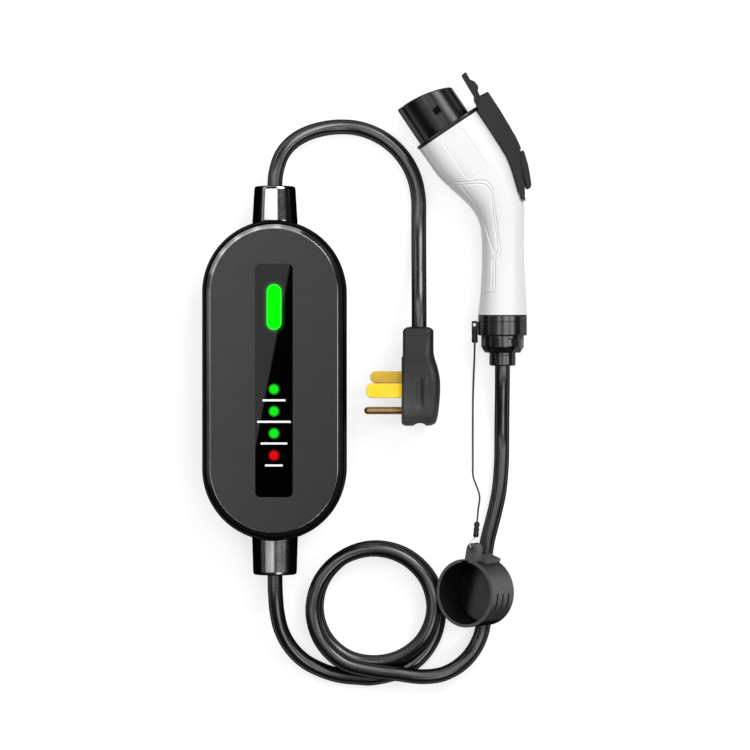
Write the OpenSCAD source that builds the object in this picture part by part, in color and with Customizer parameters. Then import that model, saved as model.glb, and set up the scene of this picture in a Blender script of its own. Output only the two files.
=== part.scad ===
// Portable charging lead for electric cars, lying as it comes to rest on a floor.
// The control box lies on its back. X is to the right, Y towards the mains end, Z up.

/* [Control box] */
// Width of the control box
box_w = 116; // [98:1:136]
// Length of the control box
box_l = 258; // [230:1:310]
// Thickness of the control box
box_t = 50; // [46:1:60]
// Wall of both covers
wall = 2.6; // [2:0.1:3.2]
// Thickness of the front face
face_t = 3.2; // [2.8:0.1:4]
// Width of the rounded outer edge
edge_w = 2.4; // [1.6:0.1:3.2]
// Width of the sloping rim beside the face
rim_w = 4.4; // [3:0.1:6]
// Depth of the sloping rim
rim_d = 2.6; // [1.6:0.1:3.4]
// Thickness of the case seal
seal_t = 0.8; // [0.6:0.1:1.4]
// Diameter of the case screws
screw_d = 3; // [2.5:0.1:3.6]

/* [Window and lights] */
// Width of the display window
win_w = 30; // [26:1:36]
// Length of the display window
win_l = 187; // [150:1:190]
// Thickness of the display window
win_t = 1.6; // [1.2:0.1:1.8]
// Width of the light bar
bar_w = 12; // [8:0.5:14]
// Length of the light bar
bar_l = 36.8; // [24:0.2:40]
// Height of the light bar's centre above the box's centre
bar_y = 58.9; // [56:0.1:64]
// Diameter of the status lights
dot_d = 8.6; // [6:0.1:10]
// Height of the first status light
dot_y = -7; // [-10:0.5:0]
// Distance between the status lights
dot_pitch = 17.7; // [16:0.1:20]

/* [Cables and glands] */
// Diameter of both cables
cable_d = 12.2; // [10:0.1:14.6]
// Diameter of the mains gland at the box
gland_d = 36.5; // [32:0.5:40]
// Length of the glands outside the box
gland_l = 28; // [22:1:34]
// Mean radius of the coil's upper turn
coil_r = 49.5; // [46:0.5:52]
// Diameter of the lanyard cord
lanyard_d = 1.6; // [1.2:0.1:2]

/* [Plug] */
// Depth of the plug from the prong face to the back
plug_depth = 30.8; // [28:0.2:36]
// Thickness of the plug
plug_t = 54; // [48:1:60]
// Distance between the two hot blades
hot_pitch = 25.4; // [22:0.2:28]
// Thickness of the blades
blade_t = 2.4; // [2:0.1:3]
// Diameter of the ground pin
ground_d = 6.2; // [5:0.1:7]

/* [Gun] */
// Outside diameter of the nozzle
nozzle_d = 43.4; // [36:0.2:46]
// Length of the nozzle in front of the gun's shell
nozzle_l = 35; // [30:1:38]
// Wall of the nozzle
nozzle_wall = 3; // [2.4:0.1:4]
// Height of the key rib along the nozzle
key_h = 3.4; // [2:0.1:3.5]
// Width of the key rib along the nozzle
key_w = 5.2; // [3:0.1:7]
// Angle of the nozzle from the handle's axis
nozzle_a = 34; // [33:0.5:35]
// Diameter of the handle's lower end
handle_d = 39.9; // [36:0.1:43]
// Wall of the gun's shell
shell_wall = 2.4; // [2:0.1:3]
// Half the thickness of the flange
flange_b = 25.6; // [25.4:0.1:28]
// Diameter of the latch pin
pin_d = 4; // [3:0.1:4.4]
// Width of the latch arm
arm_w = 11; // [8:0.5:14]
// Width of the thumb pad
pad_w = 20; // [16:0.5:22]

/* [Dust cap] */
// Outside diameter of the dust cap
cap_d = 55; // [52:0.5:66]
// Length of the dust cap
cap_l = 32; // [28:1:36]
// Wall of the dust cap
cap_wall = 2.4; // [2:0.1:3]
// Lean of the dust cap on the cable
cap_tilt = 35.9; // [34:0.1:38]

/* [Hidden] */
$fn = 64;
gap = 0.1;
box_r = box_w / 2;
end_y = box_l / 2 - box_r;
axis_z = box_t / 2;
rear_top = axis_z - seal_t / 2;
front_low = axis_z + seal_t / 2;
dy = box_l / 2 - 129;
screw_x = box_r - 11;
screw_y = [-end_y + 5, 0, end_y - 5];
boss_r = screw_d / 2 + 3;
board_z = 10;
board_t = 1.6;
neck_r = 13;
cable_r = cable_d / 2;
bore_r = cable_r + 0.2;
floor_z = cable_r + 0.05;
win_floor = box_t - win_t - 0.15;
lip_t = 1;
lamp_low = win_floor - lip_t;
dots = [for (i = [0:3]) dot_y - dot_pitch * i];
gland_end = box_l / 2 + gland_l;

// Plug: prong face, middle height and entry of the cable
plug_x = 102.6;
plug_z = plug_t / 2 + 0.05;
plug_top = 43.4;
plug_cx = 116.7;
plug_round = 4;
neck_mid = 0.4325;
neck_w = 0.805;
prong_root = 8;

// Gun outline: lower edge and upper edge of the shell, half thickness and squareness
hx = 184.5;
nose_f = [-sin(nozzle_a), cos(nozzle_a)];
nose_t = [cos(nozzle_a), sin(nozzle_a)];
nose_c = [140.5, 202.4];
nose_a = 28;
gun_l = [
    nose_c - nose_t * nose_a, [124.8, 176.1], [131.6, 166.4], [139.4, 158.4], [147.5, 151],
    [154.6, 144.6], [159.4, 139.4], [162.9, 134], [165.3, 128.6], [166.8, 123],
    [167.7, 112.1], [167.8, 102.4], [167.4, 85.8], [166.4, 69.2], [hx - handle_d / 2, 53.4]
];
gun_r = [
    nose_c + nose_t * nose_a, [171.2, 207], [177.6, 197.4], [184, 187.8], [189.4, 178.4],
    [194, 166.6], [197.6, 155.6], [200.4, 148.4], [202, 140.6], [202.1, 131],
    [201.9, 115], [202, 103], [202.6, 85.8], [203.6, 69.2], [hx + handle_d / 2, 53.4]
];
gun_b = [25, 24.9, 24.4, 23.6, 22.6, 21.3, 20.2, 19.4, 18.8, 18.1, 17.6, 17.6, 18, 18.9, handle_d / 2];
gun_p = [3, 3, 3, 2.9, 2.8, 2.7, 2.6, 2.5, 2.4, 2.3, 2.2, 2.2, 2.2, 2.1, 2];
flange_s = 0.8;
tip_r = 122;
flange_t = 2.4;
collar_top = 53.3;
collar_low = 36.5;
nut_low = 22.7;
sleeve_low = 12;
pivot = [-18, 6.3];
cover_z = 15;
cover_in = 13;
spring_s = -36;
spring_r = 2.2;
spring_top = 6.2;

// The gun lies on its flange and on the lower edge of its collar
lie_a = [hx, collar_low];
lie_b = nose_c + nose_f * flange_s;
lie_e = (lie_b - lie_a) / norm(lie_b - lie_a);
lie_k = [lie_e[1], -lie_e[0], 0];
gun_tilt = atan((flange_b - handle_d / 2) / norm(lie_b - lie_a));
gun_z = handle_d / 2 * cos(gun_tilt) + 0.05;

// The cap leans with its lower edge on the floor and its underside on the cable
cap_r = cap_d / 2;
cap_edge = 1.5;
cap_z = (cap_r - cap_edge) * sin(cap_tilt) + 0.03;
rest_x = 170;
cap_x = rest_x - (cable_r + 0.2 - (cap_z - floor_z) * cos(cap_tilt)) / sin(cap_tilt);
cap_y = -171.3 - dy;
lug_a = -11;
lug_r = cap_r + 8.7;
lug_t = 8;
hole_r = 2.3;

function cap_at(p) = [
    cap_x - p[1] * cos(cap_tilt) - p[2] * sin(cap_tilt),
    cap_y + p[0],
    cap_z - p[1] * sin(cap_tilt) + p[2] * cos(cap_tilt)
];

function gun_spin(v) =
    v * cos(gun_tilt) + cross(lie_k, v) * sin(gun_tilt) + lie_k * (lie_k * v) * (1 - cos(gun_tilt));

function gun_at(p) =
    let (a = [lie_a[0], lie_a[1], 0])
    gun_spin(p - a) + a + [0, dy, gun_z];

function lift(u, top) = floor_z + (top - floor_z) * u;

// Mains cable: box, arch to the right, floor, plug
mains_pts = [
    [0, box_l / 2 - 26, axis_z], [0, gland_end + 4, axis_z], [1.4, 171 + dy, lift(0.98, axis_z)],
    [5.6, 183 + dy, lift(0.9, axis_z)], [13.6, 193 + dy, lift(0.74, axis_z)],
    [25, 200.4 + dy, lift(0.5, axis_z)], [38.5, 205 + dy, lift(0.24, axis_z)],
    [53, 206.9 + dy, lift(0.06, axis_z)], [68, 205.6 + dy, floor_z], [82.4, 200.4 + dy, floor_z],
    [95.4, 191.6 + dy, floor_z], [106, 179.6 + dy, floor_z], [113.2, 165 + dy, floor_z],
    [116.4, 149 + dy, floor_z], [plug_cx, 132, lift(0.03, plug_z)], [plug_cx, 115, lift(0.16, plug_z)],
    [plug_cx, 98, lift(0.42, plug_z)], [plug_cx, 81, lift(0.72, plug_z)],
    [plug_cx, 65, lift(0.93, plug_z)], [plug_cx, 50, plug_z], [plug_cx, plug_top - 12, plug_z]
];

// Output cable: box, floor, two turns of coil, under the cap, gun
coil_gap = 7.24;
coil_out = coil_r + cable_d / 2 + 0.65;
coil_c = [cap_x - cap_r * cos(cap_tilt) - coil_gap - coil_out - cable_r, -186.5 - dy];
coil_in = coil_out - cable_d - 0.3;
coil_up = floor_z + cable_d + 0.25;
coil_steps = 12;
function ease(u) = let (c = max(0, min(1, u))) c * c * (3 - 2 * c);
function turn_r(t) = t < 1.02 ? coil_out + (coil_in - coil_out) * t
    : coil_in + (coil_r - coil_in) * ease((t - 1.02) / 0.3);
function turn_z(t) = floor_z + (coil_up - floor_z) * ease((t - 0.94) / 0.3);
function coil_at(t) = [
    coil_c[0] + turn_r(t) * sin(360 * t),
    coil_c[1] - turn_r(t) * cos(360 * t),
    turn_z(t)
];
lead_in = [
    [0, 26 - box_l / 2, axis_z], [0, -gland_end - 4, axis_z], [0.4, -174 - dy, lift(0.97, axis_z)],
    [1.6, -188 - dy, lift(0.86, axis_z)], [5, -203 - dy, lift(0.68, axis_z)],
    [12.4, -217 - dy, lift(0.46, axis_z)], [23.4, -228.4 - dy, lift(0.26, axis_z)],
    [38, -236.4 - dy, lift(0.1, axis_z)], [52, -240.8 - dy, lift(0.02, axis_z)], [66, -242.4 - dy, floor_z]
];
coil_pts = [for (i = [0:2 * coil_steps]) coil_at(i / coil_steps)];
lead_out = [
    [99, -238.2 - dy, coil_up], [118, -240.6 - dy, coil_up], [134, -239.2 - dy, lift(0.93, coil_up)],
    [146, -234.2 - dy, lift(0.75, coil_up)], [156, -226.4 - dy, lift(0.48, coil_up)],
    [163.6, -216.2 - dy, lift(0.2, coil_up)], [168.3, cap_y - cap_r - 5.8, lift(0.03, coil_up)],
    [rest_x, cap_y - cap_r + 6.8, floor_z], [rest_x, cap_y - 1.7, floor_z],
    [rest_x + 0.2, cap_y + cap_r - 8.2, floor_z], [172.6, -132 - dy, floor_z], [177.6, -112 - dy, floor_z],
    [182, -92 - dy, floor_z], [184.2, -68, floor_z], [hx, -46, lift(0.05, gun_z)],
    [hx, -28, lift(0.34, gun_z)], [hx, -12, lift(0.68, gun_z)], [hx, 2 + dy, lift(0.9, gun_z)],
    gun_at([hx, sleeve_low, 0]), gun_at([hx, collar_low, 0])
];
output_pts = concat(lead_in, coil_pts, lead_out);

// Lanyard: clip on the collar, floor, crimp, lug of the cap
clip_x = hx - handle_d / 2 - 2.6;
clip_end = gun_at([clip_x, 30.6, 0]);
hole_at = cap_at([lug_r * cos(lug_a), lug_r * sin(lug_a), cap_l - lug_t / 2]);
crimp_dir = [0.1, 0.86, -0.5] / norm([0.1, 0.86, -0.5]);
crimp_low = hole_at + crimp_dir * 11.5;
crimp_l = 12.6;
crimp_top = crimp_low + crimp_dir * crimp_l;
lan_z = lanyard_d / 2 + 0.05;
lanyard_pts = [
    crimp_top - crimp_dir * 4, crimp_top, crimp_top + crimp_dir * 12 + [0, 0, -0.6],
    crimp_top + crimp_dir * 25 + [0, 0, -2.2], [161, -78 - dy, 10], [161, -66 - dy, 4.2],
    [161, -54 - dy, lan_z + 0.4], [161, -40 - dy, lan_z], [161.2, -14, lan_z], [161.6, 2, lan_z + 1.2],
    [161.9, 13 + dy, 6.6], [162, 22 + dy, 13.6], clip_end + [0, -2, -1], clip_end + [0, 3, 0.1]
];
link_d = 0.9;
link_a = [-sin(cap_tilt), 0, cos(cap_tilt)];
link_v = crimp_dir - link_a * (link_a * crimp_dir);
link_w = link_v / norm(link_v);
link_in = [[0.5, 2.6], [0.5, 0.4], [0.7, -0.8]];
link_eye = [[4.95, 5.6], [4.95, 2.2], [4.7, 1.6], [4.1, 1.3]];
function link_half(s) = concat(
    [for (p = link_in) crimp_low + link_a * s * p[0] + crimp_dir * p[1]],
    [for (p = link_eye) hole_at + link_a * s * p[0] + link_w * p[1]]
);
link_back = link_half(-1);
link_pts = concat(link_half(1), [for (i = [len(link_back) - 1:-1:0]) link_back[i]]);

// Stadium-shaped solid with the given half profile of radius and height
module racetrack(profile) {
    back = [for (i = [len(profile) - 1:-1:0]) [-profile[i][0], profile[i][1]]];
    for (s = [0, 180])
        rotate([0, 0, s])
            translate([0, end_y, 0])
                rotate_extrude(angle = 180)
                    polygon(profile);
    rotate([90, 0, 0])
        linear_extrude(height = 2 * end_y, center = true)
            polygon(concat(profile, back));
}

module round_plate(w, l, r, h) {
    linear_extrude(height = h)
        union() {
            square([w - 2 * r, l], center = true);
            square([w, l - 2 * r], center = true);
            for (x = [-1, 1], y = [-1, 1])
                translate([x * (w / 2 - r), y * (l / 2 - r)])
                    circle(r = r);
        }
}

module slot_plate(w, l, h) {
    linear_extrude(height = h)
        union() {
            square([w, l - w], center = true);
            for (y = [-1, 1])
                translate([0, y * (l - w) / 2])
                    circle(d = w);
        }
}

// Round tube along points, with rings square to the run
module tube(pts, d, sides, up = [0, 0, 1]) {
    n = len(pts);
    rings = [for (i = [0:n - 1])
        let (t = pts[min(i + 1, n - 1)] - pts[max(i - 1, 0)])
        let (u = t / norm(t))
        let (s0 = cross(u, up))
        let (s = s0 / norm(s0))
        let (v = cross(s, u))
        for (k = [0:sides - 1]) pts[i] + d / 2 * (s * cos(360 * k / sides) + v * sin(360 * k / sides))
    ];
    skin = [for (i = [0:n - 2], k = [0:sides - 1])
        [i * sides + k, i * sides + (k + 1) % sides, (i + 1) * sides + (k + 1) % sides, (i + 1) * sides + k]
    ];
    head = [for (k = [sides - 1:-1:0]) k];
    tail = [for (k = [0:sides - 1]) (n - 1) * sides + k];
    polyhedron(points = rings, faces = concat([head], skin, [tail]), convexity = 8);
}

module upwards(y) {
    translate([0, y, 0])
        rotate([-90, 0, 0])
            children();
}

module in_gun() {
    translate([lie_a[0], lie_a[1] + dy, gun_z])
        rotate(a = gun_tilt, v = lie_k)
            translate([-lie_a[0], -lie_a[1], 0])
                children();
}

// Nozzle frame: x towards the latch, z out of the nozzle, from the shell's front
module at_nose() {
    multmatrix([
        [nose_t[0], 0, nose_f[0], nose_c[0]], [nose_t[1], 0, nose_f[1], nose_c[1]],
        [0, -1, 0, 0], [0, 0, 0, 1]
    ])
        children();
}

// Latch frame: x along the nozzle, y away from it, from the shell's upper front corner
module at_latch() {
    multmatrix([
        [nose_f[0], nose_t[0], 0, gun_r[0][0]], [nose_f[1], nose_t[1], 0, gun_r[0][1]],
        [0, 0, -1, 0], [0, 0, 0, 1]
    ])
        children();
}

module at_handle() {
    translate([hx, 0, 0])
        rotate([-90, 0, 0])
            children();
}

module in_cap() {
    multmatrix([
        [0, -cos(cap_tilt), -sin(cap_tilt), cap_x], [1, 0, 0, cap_y],
        [0, -sin(cap_tilt), cos(cap_tilt), cap_z], [0, 0, 0, 1]
    ])
        children();
}

module neck_holes() {
    for (s = [0, 180])
        rotate([0, 0, s])
            translate([0, box_l / 2 - 22, axis_z])
                rotate([-90, 0, 0])
                    cylinder(r = neck_r + gap, h = 40);
}

module at_screws() {
    for (x = [-1, 1], y = screw_y)
        translate([x * screw_x, y, 0])
            children();
}

module rear_cover() {
    color([0.03, 0.03, 0.03])
        difference() {
            union() {
                difference() {
                    racetrack([
                        [0, 0], [box_r - edge_w, 0], [box_r, edge_w], [box_r, rear_top], [0, rear_top]
                    ]);
                    racetrack([
                        [0, wall], [box_r - wall - 2, wall], [box_r - wall, wall + 2],
                        [box_r - wall, rear_top + 1], [0, rear_top + 1]
                    ]);
                }
                at_screws()
                    translate([0, 0, wall - 0.5])
                        cylinder(r = boss_r, h = rear_top - wall + 0.5);
                for (x = [-28, 28], y = [-74, 74])
                    translate([x, y, wall - 0.5])
                        cylinder(r = 3, h = board_z - wall + 0.5);
            }
            at_screws()
                translate([0, 0, -1])
                    cylinder(r = screw_d / 2 + 0.2, h = box_t);
            at_screws()
                translate([0, 0, -1])
                    cylinder(r = screw_d + 0.2, h = 4);
            neck_holes();
        }
}

module front_cover() {
    low = box_t - rim_d - 3.2;
    color([0.07, 0.07, 0.07])
        difference() {
            union() {
                difference() {
                    racetrack([
                        [0, front_low], [box_r, front_low], [box_r, low], [box_r - edge_w, box_t - rim_d],
                        [box_r - edge_w - rim_w, box_t], [0, box_t]
                    ]);
                    racetrack([
                        [0, front_low - 1], [box_r - wall, front_low - 1], [box_r - wall, low - 0.6],
                        [box_r - edge_w - rim_w - 1.5, box_t - face_t], [0, box_t - face_t]
                    ]);
                }
                at_screws()
                    translate([0, 0, front_low])
                        cylinder(r = boss_r, h = box_t - face_t - front_low + 0.5);
            }
            at_screws()
                translate([0, 0, front_low - 1])
                    cylinder(r = screw_d / 2, h = 15);
            translate([0, 0, win_floor])
                round_plate(win_w + 2 * gap, win_l + 2 * gap, 4 + gap, 10);
            translate([0, 0, box_t - face_t - 1])
                round_plate(win_w - 4, win_l - 4, 2, 10);
            neck_holes();
        }
}

module case_seal() {
    color([0.12, 0.12, 0.12])
        difference() {
            racetrack([[0, rear_top], [box_r - 0.5, rear_top], [box_r - 0.5, front_low], [0, front_low]]);
            racetrack([
                [0, rear_top - 1], [box_r - wall + 0.2, rear_top - 1], [box_r - wall + 0.2, front_low + 1],
                [0, front_low + 1]
            ]);
            neck_holes();
        }
}

module case_screws() {
    color([0.5, 0.5, 0.52])
        at_screws() {
            translate([0, 0, 0.8])
                cylinder(r = screw_d, h = 2.2);
            translate([0, 0, 2.5])
                cylinder(r = screw_d / 2 - 0.05, h = front_low + 10 - 2.5);
        }
}

module display_window() {
    color([0.02, 0.02, 0.02])
        difference() {
            translate([0, 0, win_floor])
                round_plate(win_w, win_l, 4, win_t);
            translate([0, bar_y, win_floor - 1])
                slot_plate(bar_w + 2 * gap, bar_l + 2 * gap, 5);
            for (y = dots)
                translate([0, y, win_floor - 1])
                    cylinder(d = dot_d + 2 * gap, h = 5);
        }
}

module light_bar() {
    color([0, 1, 0])
        translate([0, bar_y, 0]) {
            translate([0, 0, win_floor - 0.5])
                slot_plate(bar_w, bar_l, win_t + 0.5);
            translate([0, 0, lamp_low])
                slot_plate(bar_w + 2.4, bar_l + 2.4, lip_t);
        }
}

module lamp() {
    translate([0, 0, win_floor - 0.5])
        cylinder(d = dot_d, h = win_t + 0.5);
    translate([0, 0, lamp_low])
        cylinder(d = dot_d + 2.4, h = lip_t);
}

module status_lights_green() {
    color([0.1, 0.9, 0.15])
        for (i = [0:2])
            translate([0, dots[i], 0])
                lamp();
}

module status_light_red() {
    color([0.85, 0.08, 0.08])
        translate([0, dots[3], 0])
            lamp();
}

module indicator_board() {
    color([0.05, 0.25, 0.12])
        translate([0, 0, lamp_low - board_t])
            round_plate(win_w - 6, win_l - 10, 1, board_t);
}

module main_board() {
    color([0.05, 0.28, 0.14])
        translate([-36, -85, board_z])
            cube([72, 170, board_t]);
}

module relays() {
    color([0.1, 0.1, 0.1])
        for (x = [-17, 17])
            translate([x - 13, 30, board_z + board_t])
                cube([26, 32, 20]);
}

module current_sensor() {
    color([0.15, 0.15, 0.3])
        translate([0, -58, board_z + board_t])
            difference() {
                cylinder(r = 15, h = 14);
                translate([0, 0, -1])
                    cylinder(r = 7.5, h = 16);
            }
}

module power_module() {
    color([0.2, 0.2, 0.2])
        translate([-22, -30, board_z + board_t])
            cube([44, 50, 16]);
}

module cable_clamps() {
    color([0.25, 0.25, 0.25])
        for (s = [-1, 1])
            difference() {
                translate([-13, s * (box_l / 2 - 21) - 5, wall])
                    cube([26, 10, axis_z - wall + 11]);
                translate([0, s * (box_l / 2 - 21) - 6, axis_z])
                    rotate([-90, 0, 0])
                        cylinder(r = bore_r, h = 12);
            }
}

// Tapered sleeve that grips the end of the box, with its axis along y
module gland(d0, d1) {
    base = box_l / 2 - 6;
    flange = end_y + sqrt(pow(box_r - wall, 2) - 17 * 17) - 0.3;
    translate([0, 0, axis_z])
        difference() {
            union() {
                difference() {
                    upwards(0)
                        rotate_extrude()
                            polygon([
                                [0, base], [d0 / 2, base], [d0 / 2, box_l / 2], [d1 / 2, gland_end - 2.6],
                                [d1 / 2 - 0.7, gland_end - 0.8], [d1 / 2 - 2.4, gland_end], [0, gland_end]
                            ]);
                    translate([0, end_y, -axis_z - 1])
                        cylinder(r = box_r + 0.05, h = box_t + 2);
                }
                upwards(flange - 3)
                    cylinder(r = 17, h = 3);
                upwards(flange - 1)
                    cylinder(r = neck_r, h = box_l / 2 - flange + 6);
            }
            upwards(flange - 10)
                cylinder(r = bore_r, h = 60);
        }
}

module mains_gland() {
    color([0.04, 0.04, 0.04])
        gland(gland_d, gland_d - 3);
}

module output_gland() {
    color([0.04, 0.04, 0.04])
        rotate([0, 0, 180])
            gland(gland_d + 0.5, gland_d - 1);
}

module mains_cable() {
    color([0.03, 0.03, 0.03])
        tube(mains_pts, cable_d, 10);
}

module hot_outline(y0, y1, x1) {
    polygon([
        [plug_x + prong_root, y0], [plug_x + prong_root, y1], [x1 + 3, y1], [x1, y1 - 3],
        [x1, y0 + 3], [x1 + 3, y0]
    ]);
}

module hot_blades() {
    color([0.85, 0.68, 0.2])
        for (s = [-1, 1])
            translate([0, 0, plug_z + s * hot_pitch / 2])
                linear_extrude(height = blade_t, center = true)
                    hot_outline(-14.1, -2.5, 74);
}

module neutral_blade() {
    color([0.8, 0.6, 0.2])
        translate([0, 0, plug_z])
            linear_extrude(height = blade_t, center = true)
                hot_outline(-2.3, 7.4, 77.3);
}

module ground_pin() {
    color([0.85, 0.7, 0.25])
        translate([plug_x + prong_root, -24.4, plug_z])
            rotate([0, -90, 0])
                rotate_extrude()
                    polygon([
                        [0, 0], [ground_d / 2, 0], [ground_d / 2, prong_root + 27.2],
                        [ground_d / 2 - 0.9, prong_root + 29.4], [ground_d / 2 - 2.2, prong_root + 30.4],
                        [0, prong_root + 30.5]
                    ]);
}

module plug_body() {
    side = [
        [0.1, 43.4], [0.03, 41], [0.03, 19.8], [0, 19.2], [0, -35], [0.05, -36.5], [0.78, -36.5],
        [0.87, -34.6], [0.93, -29.6], [0.965, -22], [0.99, -14.3], [1, -5.8], [0.99, 1.9], [0.94, 10],
        [0.87, 17.3], [0.845, 20.6], [0.835, 24], [0.835, 41], [0.76, 43.4]
    ];
    half = [
        [43.4, 11], [41, 13.2], [26, 13.4], [21, 15.6], [16, plug_t / 2 - 5.4], [11, plug_t / 2 - 1.6],
        [5, plug_t / 2], [-22, plug_t / 2], [-29, plug_t / 2 - 1.8], [-34, plug_t / 2 - 5.4],
        [-36.5, plug_t / 2 - 9]
    ];
    other = [for (i = [len(half) - 1:-1:0]) [half[i][0], -half[i][1]]];
    color([0.1, 0.1, 0.1])
        difference() {
            intersection() {
                linear_extrude(height = plug_t + 2)
                    polygon([for (p = side) [plug_x + p[0] * plug_depth, p[1]]]);
                translate([plug_x - 5, 0, plug_z])
                    rotate([90, 0, 90])
                        linear_extrude(height = plug_depth + 10)
                            polygon(concat(half, other));
                union() {
                    translate([plug_x + plug_depth / 2, 24, plug_z])
                        rotate([90, 0, 0])
                            round_plate(plug_depth, plug_t, plug_round, 70);
                    translate([plug_x + neck_mid * plug_depth, plug_top + 1, plug_z])
                        rotate([90, 0, 0])
                            round_plate(neck_w * plug_depth, 26.8, plug_round, 22);
                }
            }
            translate([plug_cx, plug_top - 14, plug_z])
                rotate([-90, 0, 0])
                    cylinder(r = bore_r, h = 20);
            for (s = [-1, 1])
                translate([plug_x - 1, -14.2, plug_z + s * hot_pitch / 2 - blade_t / 2 - 0.05])
                    cube([prong_root + 1.1, 11.8, blade_t + 0.1]);
            translate([plug_x - 1, -2.4, plug_z - blade_t / 2 - 0.05])
                cube([prong_root + 1.1, 9.9, blade_t + 0.1]);
            translate([plug_x - 1, -24.4, plug_z])
                rotate([0, 90, 0])
                    cylinder(r = ground_d / 2 + 0.05, h = prong_root + 1.1);
            translate([117, -41.6, -1])
                cylinder(r = 7.4, h = plug_t + 4);
            for (x = [115.4, 121])
                translate([x, -10.6, plug_z + plug_t / 2 - 1.4])
                    round_plate(4.2, 23, 2, 4);
        }
}

module output_cable() {
    color([0.03, 0.03, 0.03])
        tube(output_pts, cable_d, 10);
}

// Sections halfway between the given ones, on a smooth line through them
function between(v, i) =
    let (a = i > 0 ? v[i - 1] : 2 * v[0] - v[1])
    let (d = i + 2 < len(v) ? v[i + 2] : 2 * v[i + 1] - v[i])
    (9 * (v[i] + v[i + 1]) - a - d) / 16;

function finer(v) = [for (k = [0:2 * len(v) - 2]) k % 2 == 0 ? v[k / 2] : between(v, (k - 1) / 2)];

// One half of the gun's hollow shell, lofted through its cross sections
module shell_half(side) {
    low = finer(gun_l);
    high = finer(gun_r);
    deep = finer(gun_b);
    square = finer(gun_p);
    m = len(deep);
    n = 18;
    ring = 2 * (n + 1);
    pts = [for (i = [0:m - 1])
        let (c = (low[i] + high[i]) / 2)
        let (u = (high[i] - low[i]) / 2)
        let (a = norm(u))
        for (j = [0:2 * n + 1])
            let (inner = j > n)
            let (th = 180 * (inner ? 2 * n + 1 - j : j) / n)
            let (w = inner ? shell_wall : 0)
            let (cx = sign(cos(th)) * pow(abs(cos(th)), 2 / square[i]))
            let (sz = j % (2 * n + 1) == 0 || j == n || j == n + 1 ? 0 : pow(abs(sin(th)), 2 / square[i]))
            [c[0] + u[0] * cx * (a - w) / a, c[1] + u[1] * cx * (a - w) / a, side * (0.05 + sz * (deep[i] - w))]
    ];
    skin = [for (i = [0:m - 2], j = [0:ring - 1])
        let (k = (j + 1) % ring)
        [i * ring + j, i * ring + k, (i + 1) * ring + k, (i + 1) * ring + j]
    ];
    ends = [for (e = [0, m - 1], j = [0:n - 1])
        let (q = [e * ring + j, e * ring + j + 1, e * ring + 2 * n - j, e * ring + 2 * n + 1 - j])
        e == 0 ? [q[3], q[2], q[1], q[0]] : q
    ];
    faces = concat(skin, ends);
    turned = [for (f = faces) [f[3], f[2], f[1], f[0]]];
    polyhedron(points = pts, faces = side > 0 ? turned : faces, convexity = 8);
}

module gun_shell_near() {
    color([0.85, 0.85, 0.85])
        in_gun()
            shell_half(1);
}

module gun_shell_far() {
    color([0.85, 0.85, 0.85])
        in_gun()
            shell_half(-1);
}

module shell_posts() {
    color([0.5, 0.5, 0.52])
        in_gun()
            for (i = [2, 6, 11])
                translate(concat((gun_l[i] + gun_r[i]) / 2, [0]))
                    cylinder(r = 2.6, h = 2 * (gun_b[i] - shell_wall - 0.3), center = true);
}

module oval(a, b) {
    polygon([for (i = [0:55])
        let (th = 360 * i / 56)
        [a * sign(cos(th)) * pow(abs(cos(th)), 2 / 3), b * sign(sin(th)) * pow(abs(sin(th)), 2 / 3)]
    ]);
}

module flange_seal() {
    color([0.05, 0.05, 0.05])
        in_gun()
            at_nose()
                difference() {
                    translate([0, 0, 0.03])
                        linear_extrude(height = flange_s - 0.08)
                            oval(nose_a, 25);
                    translate([0, 0, -1])
                        cylinder(d = nozzle_d - 2 * nozzle_wall, h = 5);
                }
}

module nozzle() {
    color([0.04, 0.04, 0.04])
        in_gun()
            at_nose()
                difference() {
                    union() {
                        translate([0, 0, flange_s])
                            linear_extrude(height = flange_t)
                                oval(nose_a + 0.8, flange_b);
                        intersection() {
                            union() {
                                translate([0, 0, flange_s])
                                    cylinder(d = nozzle_d, h = nozzle_l + 4);
                                translate([-nozzle_d / 2 - key_h, -key_w / 2, flange_s])
                                    cube([key_h + 1.6, key_w, nozzle_l + 4]);
                            }
                            translate([-24.9, 0, nozzle_l - 120])
                                rotate([90, 0, 0])
                                    cylinder(r = tip_r, h = 60, center = true, $fn = 360);
                        }
                    }
                    translate([0, 0, -1])
                        cylinder(d = nozzle_d - 2 * nozzle_wall, h = nozzle_l + 9);
                    translate([-2.9, -nozzle_d / 2 - 2, 15.4])
                        cube([5.8, 8, 5.6]);
                }
}

module at_contacts(kind) {
    spots = kind == 0 ? [[7, 7.8], [7, -7.8]] : kind == 1 ? [[-10.6, 0]] : [[-5.6, 11], [-5.6, -11]];
    for (p = spots)
        translate([p[0], p[1], -14])
            children();
}

module contact_insert() {
    color([0.08, 0.08, 0.08])
        in_gun()
            at_nose()
                difference() {
                    translate([0, 0, -8])
                        cylinder(d = nozzle_d - 2 * nozzle_wall - 0.2, h = nozzle_l - 8 + 8);
                    at_contacts(0)
                        cylinder(r = 4.1, h = 60);
                    at_contacts(1)
                        cylinder(r = 4.1, h = 60);
                    at_contacts(2)
                        cylinder(r = 2.6, h = 60);
                }
}

module contact(r) {
    difference() {
        cylinder(r = r, h = nozzle_l + 3);
        translate([0, 0, 14])
            cylinder(r = r - 2.2 + (4 - r) * 0.7, h = 60);
    }
}

module power_contacts() {
    color([0.8, 0.65, 0.25])
        in_gun()
            at_nose()
                at_contacts(0)
                    contact(4);
}

module earth_contact() {
    color([0.8, 0.65, 0.25])
        in_gun()
            at_nose()
                at_contacts(1)
                    contact(4);
}

module signal_contacts() {
    color([0.8, 0.65, 0.25])
        in_gun()
            at_nose()
                at_contacts(2)
                    contact(2.5);
}

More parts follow.
